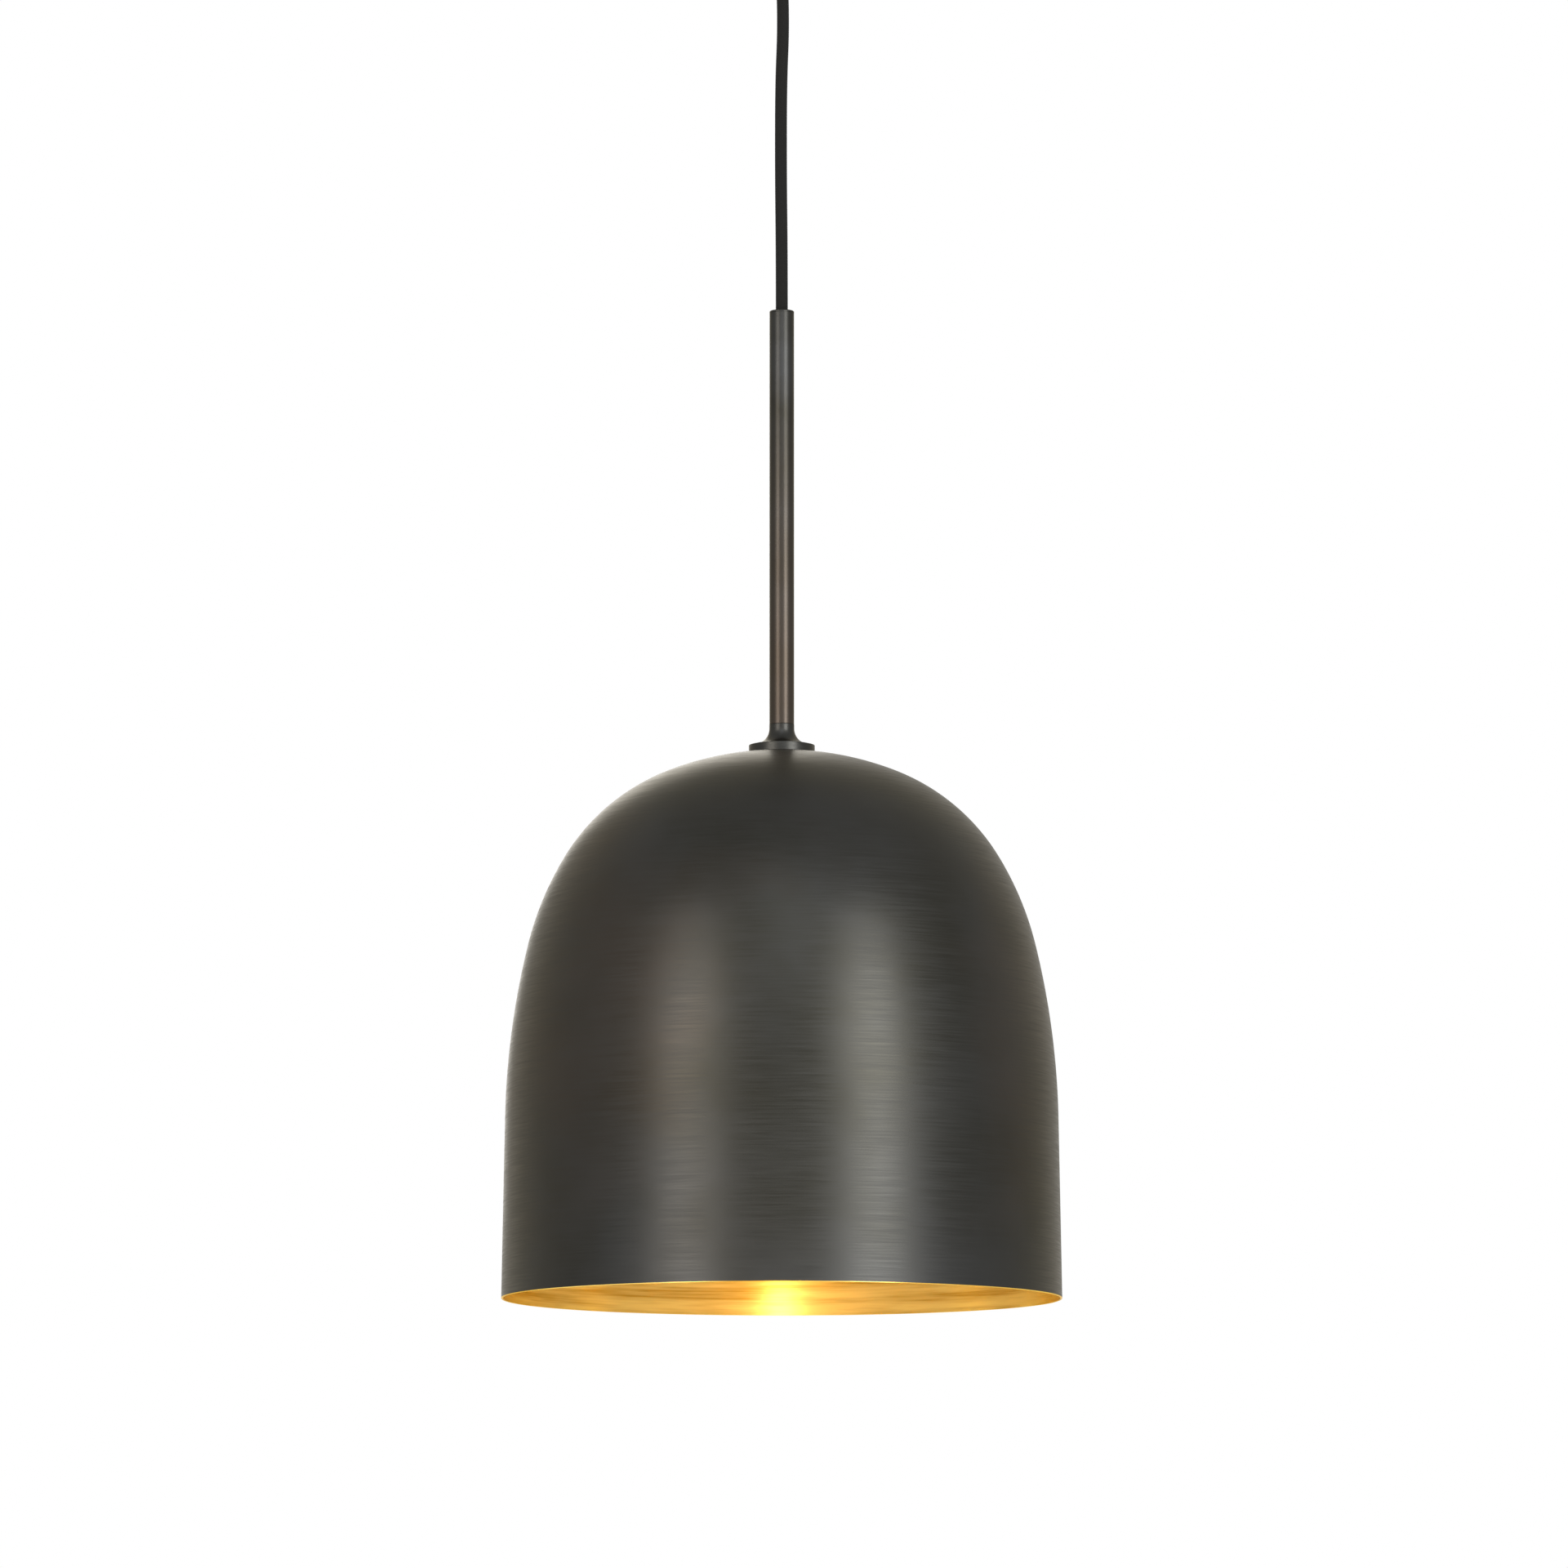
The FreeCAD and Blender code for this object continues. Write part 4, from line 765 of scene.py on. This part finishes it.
class BuildCanopy(bpy.types.Operator):
    """Makes the ceiling canopy with its two open slots, and the knurled screws that hold it"""

    bl_idname = "pendant.canopy"
    bl_label = "Canopy"

    def execute(self, context):
        sizes = context.scene.pendant_sizes
        bronze = dark_bronze_on_turned_metal()
        reach, low, high = node_box("ceiling_canopy")
        wall, bend, hole = 1.0, 8.0, 5.3
        slot, slot_end, gap = 2.3, 8.1, 0.03
        # Columns crowd into each slot, with a close pair at each of its edges.
        across = slot * np.sin(np.linspace(-math.pi / 2, math.pi / 2, 17))
        beside = np.array([-slot - gap, *across, slot + gap])
        near = np.arcsin(beside / reach)
        side = np.linspace(near[-1], math.pi - near[-1], 74)[1:-1]
        half = np.concatenate([near, side])
        drop = np.where(np.abs(beside) > slot, 0.0,
                        slot_end + np.sqrt(np.maximum(slot ** 2 - beside ** 2, 0)))
        drops = np.tile(np.concatenate([drop, 0 * side]), 2)
        wall_steps = climb(reach, low + bend, high, 3.0)[1:]
        section = np.concatenate([
            rounded([(hole, low), (reach, low, bend), (reach, high)], 12)[:-1],
            wall_steps,
            (wall_steps - [wall, 0])[::-1],
            rounded([(reach - wall, high), (reach - wall, low + wall, bend - wall),
                     (hole, low + wall)], 12)[1:],
        ])
        foot = low + bend

        def slotted(angle, radius, height):
            """The wall above the bend is drawn down to the slot's edge at each angle."""
            share = np.clip((height - foot) / (high - foot), 0, 1)
            return -share * drops[None]

        whole = turned(section, angles=np.concatenate([half, half + math.pi]), lift=slotted)
        piece("canopy", [whole], "canopy", bronze, "ceiling_canopy")
        inner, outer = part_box("canopy_side_screws")
        face = outer.x / MM
        head, thick, shank, length_of_shank = 4.0, 4.5, 2.0, 9.0
        back = face - thick
        end = back - length_of_shank
        body = np.concatenate([
            [(0, face - 0.35), (2.2, face - 0.35), (2.5, face)],
            rounded([(2.5, face), (head, face, 0.4), (head, face - 1)])[1:-1],
            climb(head, face - 0.8, back + 0.6, 0.5),
            rounded([(head, face - 1), (head, back, 0.4), (shank, back)])[1:],
            climb(shank, back - 0.1, end + 0.3, 0.12),
            [(1.6, end), (0, end)],
        ])
        ridges = 30
        grip = knurled(sizes.knurl_depth / MM, ridges, back + 0.45, face - 0.45, head - 1)
        pitch = threaded(0.28, 0.7, end + 0.2, back - 0.1, 0.6, shank - 0.01)
        points, faces, places = turned(body, 4 * ridges, grip, pitch)
        along_x = np.array([[0, 0, 1], [1, 0, 0], [0, 1, 0]])
        level = (0, 0, (inner.z + outer.z) / 2)
        screws = [(points @ (np.diag([way, way, 1]) @ along_x).T + level, faces, places)
                  for way in (1, -1)]
        piece("side_screws", screws, "ceiling", bronze, "canopy_side_screws")
        return {"FINISHED"}


class BuildConductors(bpy.types.Operator):
    """Makes the sleeved conductors in the canopy and in the lampholder"""

    bl_idname = "pendant.conductors"
    bl_label = "Conductors"

    def execute(self, context):
        forward, upward, aslant = (1.0, 0.0, 0.0), (0.0, 1.0, 0.0), (0.6, 0.8, 0.0)
        for core, way, slot, pvc in (("live", -1, "brown_core", brown_pvc()),
                                     ("neutral", 1, "blue_core", blue_pvc())):
            route = [(1.3, 0.75, -30), (1.3, 0.75, -26.4), (4, 7, -22), (7, 16.6, -19.2),
                     (7.35, 20, -12.2), (7, 14.6, -7.8), (7, 6, -7.5)]
            self.sleeved(core, [(way * x, y, z) for x, y, z in route], forward, slot, pvc, True)
            route = [(1.3, 0, -522.5), (1.3, 0, -525.2), (3.2, 0, -528.3), (8, 0, -528.7)]
            self.sleeved(core, [(way * x, y, z) for x, y, z in route], upward, slot, pvc)
        slot, pvc = "earth_core", green_and_yellow_pvc()
        route = [(0, -1.5, -30), (0, -1.5, -26.4), (3.4, -8, -22.6), (11, -14, -18),
                 (17, -14.5, -10.9), (19.7, -11, -5.5), (20, -5, -4.0)]
        self.sleeved("earth", route, aslant, slot, pvc, True)
        route = [(0, 1.4, -522.5), (0, 1.4, -524.7), (0, 4.8, -526.5), (0, 8.4, -522.18),
                 (0, 11.8, -521.33)]
        self.sleeved("earth", route, forward, slot, pvc)
        return {"FINISHED"}

    def sleeved(self, core, route, reference, slot, pvc, in_canopy=False):
        """One conductor: a round tube along its line. In the canopy it follows the terminal at
        one end and the cord at the other as the canopy drops."""
        sizes = bpy.context.scene.pendant_sizes
        points = [(x * MM, y * MM, z * MM) for x, y, z in route]
        line = smooth_line(core + "_line", points, CORE_STEPS)
        radius = sizes.core_radius if in_canopy else sizes.holder_core_radius
        patch = tube(line, radius, CORE_COLUMNS, reference)
        if in_canopy:
            made = piece(core + "_conductor", [patch], None, pvc, core + "_core")
            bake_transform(made)
        else:
            piece(core + "_tail", [patch], "pendant", pvc, "holder_" + core + "_core")


class BuildHolder(bpy.types.Operator):
    """Makes the lampholder's cap, its ribbed skirt and its threaded shell"""

    bl_idname = "pendant.holder"
    bl_label = "Lampholder"

    def execute(self, context):
        sizes = context.scene.pendant_sizes
        reach, low, high = node_box("holder_cap")
        shoulder, neck, wall = low + 20, 8, 1
        cap = np.concatenate([
            rounded([(reach - wall, low), (reach, low, 0.2), (reach, low + 4)])[:-1],
            climb(reach, low + 4, low + 12, 0.8),
            rounded([(reach, low + 12), (reach, shoulder, 6), (neck, shoulder), (neck, high, 0.4),
                     (STEM_BORE, high), (STEM_BORE, shoulder - wall),
                     (reach - wall, shoulder - wall, 5), (reach - wall, low + 1)])[1:],
        ])
        ribs = 72
        ribbed = knurled(0.3, ribs, low + 4.5, low + 11.5, reach - 0.05)
        piece("holder_dome", [turned(cap, 4 * ribs, ribbed)], "pendant",
              brushed_lacquered_brass(), "holder_cap")
        reach, low, high = node_box("holder_skirt")
        foot, wall = reach - 1.6, 0.9
        skirt = np.concatenate([
            rounded([(foot - wall, low), (foot, low, 0.25), (foot, low + 2, 0.6),
                     (reach, low + 20, 6), (reach, high)])[:-1],
            climb(reach, low + 24, high - 2, 1.0),
            [(reach, high), (reach - wall, high), (reach - wall, low + 20),
             (foot - wall, low + 2)],
        ])
        piece("holder_sleeve", [turned(skirt, 192)], "pendant",
              brushed_lacquered_brass(), "holder_skirt")
        reach, low, high = node_box("holder_screw_shell")
        pitch = sizes.thread_pitch / MM
        outside = climb(reach, low, high - 1.0, 0.24)
        inside = climb(reach - 0.65, high - 1.0, low, 0.24)
        shell = np.concatenate([outside, [(reach - 0.6, high), (8.2, high), (8.2, high - 0.5),
                                          (reach - 1.0, high - 0.5)], inside])
        wave = threaded(0.3, pitch, low, high - 1.0, 1.2)

        def wound(angle, radius, height):
            """The thread is pressed into the thin sheet, so both of its faces follow it."""
            shift = np.where(radius < reach - 0.3, 0.3, 0.0)
            return (wave(angle, radius, height) + shift) * (radius > reach - 0.7)

        piece("threaded_shell", [turned(shell, STEM_COLUMNS, wound)], "pendant",
              machined_brass(), "holder_screw_shell")
        return {"FINISHED"}


class BuildBulb(bpy.types.Operator):
    """Makes the bulb: a lit opal globe and its threaded cap"""

    bl_idname = "pendant.bulb"
    bl_label = "Bulb"

    def execute(self, context):
        sizes = context.scene.pendant_sizes
        reach, low, high = node_box("bulb_globe")
        neck, wall = 12.3, 0.8
        outer = self.globe_line(reach, neck, low, high)
        inner = self.globe_line(reach - wall, neck - wall, low + wall, high)
        globe = np.concatenate([outer, inner[::-1]])
        piece("opal_globe", [turned(globe)], "bulb", lit_opal_glass(),
              "bulb_globe")
        reach, low, high = node_box("bulb_cap")
        pitch = sizes.thread_pitch / MM
        cap = np.concatenate([
            rounded([(reach - 0.4, low), (reach, low, 0.2), (reach, low + 2)])[:-1],
            climb(reach, low + 2, high - 2, 0.24),
            rounded([(reach, high - 2), (reach - 0.6, high, 0.6), (9.5, high), (9.5, high - 0.4),
                     (reach - 1.6, high - 0.4)])[1:],
            climb(reach - 1.6, high - 2, low + 2, 1.0),
        ])
        rolled = threaded(1.0, pitch, low + 3, high - 1.5, 2.0, reach - 0.05)
        piece("threaded_cap", [turned(cap, STEM_COLUMNS, rolled)], "bulb",
              nickel_plated_brass(), "bulb_cap")
        reach, low, high = node_box("bulb_cap_glass")
        collar = rounded([(0, low), (reach, low), (reach, low + 0.4, 0.3), (4.6, high, 0.5),
                          (0, high)])
        piece("glass_collar", [turned(collar, 64)], "bulb",
              pressed_black_glass(), "bulb_cap_glass")
        reach, low, high = node_box("bulb_contact_tip")
        # The tip stays still while the glass under it turns, so it clears it by a hair.
        low += 0.02
        turn = np.linspace(0, math.pi / 2, 12)
        dome = np.stack([reach * np.cos(turn), low + (high - low) * np.sin(turn)], 1)
        dome[-1, 0] = 0
        tip = np.concatenate([[(0, low)], dome])
        piece("solder_tip", [turned(tip, 48)], "bulb_tip", solder(),
              "bulb_contact_tip")
        return {"FINISHED"}

    def globe_line(self, radius, neck, low, high):
        """A globe's section from its foot up to the neck: a sphere (r sin t, centre - r cos t),
        then a hollow curve that leaves it on one tangent and ends upright on the neck."""
        centre = low + radius
        neck_level = high - 12
        rise = neck_level - centre
        bend = (neck ** 2 + rise ** 2 - radius ** 2) / (2 * (radius - neck))
        aim = math.atan2(rise, neck + bend)
        ball = np.linspace(0, math.pi / 2 + aim, 48, endpoint=False)
        sphere = np.stack([radius * np.sin(ball), centre - radius * np.cos(ball)], 1)
        sweep = np.linspace(math.pi + aim, math.pi, 16)
        hollow = np.stack([neck + bend * (1 + np.cos(sweep)),
                           neck_level + bend * np.sin(sweep)], 1)
        sphere[0, 0] = 0
        return np.concatenate([sphere, hollow, [(neck, high)]])


class DressFrame(bpy.types.Operator):
    """Gives each carried-over CAD part the finish of the real one"""

    bl_idname = "pendant.dress"
    bl_label = "Small parts"

    def execute(self, context):
        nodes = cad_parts
        dressed = (
            (zinc_plated_steel(), ("ceiling_bracket", "terminal_screws", "block_fixing_screw",
                                   "holder_terminal_screws", "holder_earth_screw",
                                   "shade_washer", "grip_washer", "threaded_nipple")),
            (machined_brass(), ("terminal_barrels", "bracket_earth_screw", "earth_tag",
                                "shade_nut", "grip_nut", "holder_centre_contact",
                                "holder_side_contact", "holder_terminals")),
            (moulded_white_nylon(), ("terminal_block", "cord_lock_bush")),
            (moulded_black_nylon(), ("grip_clamp_screw",)),
            (dark_bronze_on_turned_metal(), ("cord_grip",)),
            (glazed_steatite(), ("holder_insert",)),
            (clear_pressed_glass(), ("bulb_mount",)),
            (filament_phosphor(), ("bulb_filaments",)),
            (braided_black_cloth(), ("cord_in_grip", "stem_cord")),
        )
        for material, names in dressed:
            for name in names:
                for slot in nodes[name].material_slots:
                    slot.material = material
        return {"FINISHED"}


class BuildStage(bpy.types.Operator):
    """Sets up the pale floor, the white studio round it, the soft lights and the camera"""

    bl_idname = "pendant.stage"
    bl_label = "Stage"

    def execute(self, context):
        scene = context.scene
        sizes = scene.pendant_sizes
        scene.view_settings.view_transform = "Standard"
        self.floor(sizes.floor_drop)
        self.studio(scene)
        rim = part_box("shade")[0].z
        half_shade = 0.15
        shade_middle = (0.0, 0.0, rim + half_shade)
        for name, at, width, height, power, tint in (
                ("softbox_left", (-1.42, -1.83, rim + 0.65), 0.88, 1.3, 33, "#fff8f2"),
                ("softbox_right", (1.42, -1.85, rim + 0.65), 0.86, 1.3, 53, "#ffffff"),
                ("overhead", (0.05, -1.9, rim + 1.45), 0.9, 1.1, 10, "#eef3ff"),
                ("low_strip", (0.03, -1.9, rim - 0.65), 0.28, 0.45, 17, "#fff8ec"),
                ("back_fill", (-0.4, 2.5, rim + 1.0), 1.0, 1.6, 13, "#ffffff")):
            self.softbox(name, at, shade_middle, width, height, power, tint)
        self.camera(scene, sizes.camera_distance, rim)
        return {"FINISHED"}

    def floor(self, drop):
        """A flat disc: x = r cos a, y = r sin a, at the floor's height."""
        radius = np.linspace(0, FLOOR_RADIUS, 12)
        angles = np.linspace(0, -FULL_TURN, 96, endpoint=False)
        points = np.stack([radius[:, None] * np.cos(angles), radius[:, None] * np.sin(angles),
                           np.full((len(radius), len(angles)), -drop)], 2)
        around = np.linspace(0, FULL_TURN, len(angles) + 1)
        patch = grid_patch(points, around, radius, False, True)
        surface_object("floor", [patch], matt_white_floor())

    def studio(self, scene):
        """An even white surround."""
        world = bpy.data.worlds.new("white_studio")
        world.use_nodes = True
        tree = world.node_tree
        tree.nodes.clear()
        white = add(tree, "Background", {"Color": linear("#ffffff"), "Strength": 1.0})
        add(tree, "OutputWorld", {"Surface": white.outputs[0]})
        scene.world = world

    def softbox(self, name, at, target, width, height, power, tint):
        """A rectangular lamp at a point, facing a target and out of the camera's sight."""
        lamp = bpy.data.lights.new(name, "AREA")
        lamp.shape = "RECTANGLE"
        lamp.size, lamp.size_y = width, height
        lamp.energy = power
        lamp.color = linear(tint)[:3]
        item = bpy.data.objects.new(name, lamp)
        item.location = at
        aim = np.array(target) - np.array(at)
        item.rotation_euler = (math.acos(-aim[2] / np.linalg.norm(aim)), 0,
                               math.atan2(-aim[0], aim[1]))
        item.visible_camera = False
        bpy.context.scene.collection.objects.link(item)

    def camera(self, scene, distance, rim):
        """A long lens a little below the rim, tilted up at the light."""
        focal, sensor, far = 193.17, 36.0, 60.0
        aside, below_rim, tilt = 0.0012, 0.2747, 6.996
        data = bpy.data.cameras.new("camera")
        data.lens = focal
        data.sensor_width = sensor
        data.clip_end = far
        item = bpy.data.objects.new("camera", data)
        item.location = (aside, -distance, rim - below_rim)
        item.rotation_euler = (math.radians(90 + tilt), 0, 0)
        scene.collection.objects.link(item)
        scene.camera = item


OPERATORS = (BuildCords, BuildShade, BuildStem, BuildCanopy, BuildConductors, BuildHolder,
             BuildBulb, DressFrame, BuildStage)


class PendantPanel(bpy.types.Panel):
    """Lists the pendant light's pieces, sizes and colours"""

    bl_idname = "VIEW3D_PT_pendant"
    bl_label = "Pendant light"
    bl_space_type = "VIEW_3D"
    bl_region_type = "UI"
    bl_category = "Pendant"

    def draw(self, context):
        for operator in OPERATORS:
            self.layout.operator(operator.bl_idname)
        for group in (context.scene.pendant_sizes, context.scene.pendant_colours):
            column = self.layout.column()
            for name in group.__annotations__:
                column.prop(group, name)


CLASSES = (PendantSizes, PendantColours, *OPERATORS, PendantPanel)


def register():
    """Adds the classes and their settings to Blender."""
    for item in CLASSES:
        bpy.utils.register_class(item)
    bpy.types.Scene.pendant_sizes = bpy.props.PointerProperty(type=PendantSizes)
    bpy.types.Scene.pendant_colours = bpy.props.PointerProperty(type=PendantColours)


def unregister():
    """Takes the classes and their settings out of Blender."""
    del bpy.types.Scene.pendant_colours
    del bpy.types.Scene.pendant_sizes
    for item in reversed(CLASSES):
        bpy.utils.unregister_class(item)


def main():
    """Builds the whole light and writes its box beside the frame's."""
    register()
    for operator in OPERATORS:
        group, name = operator.bl_idname.split(".")
        getattr(getattr(bpy.ops, group), name)()


if __name__ == "__main__":
    main()
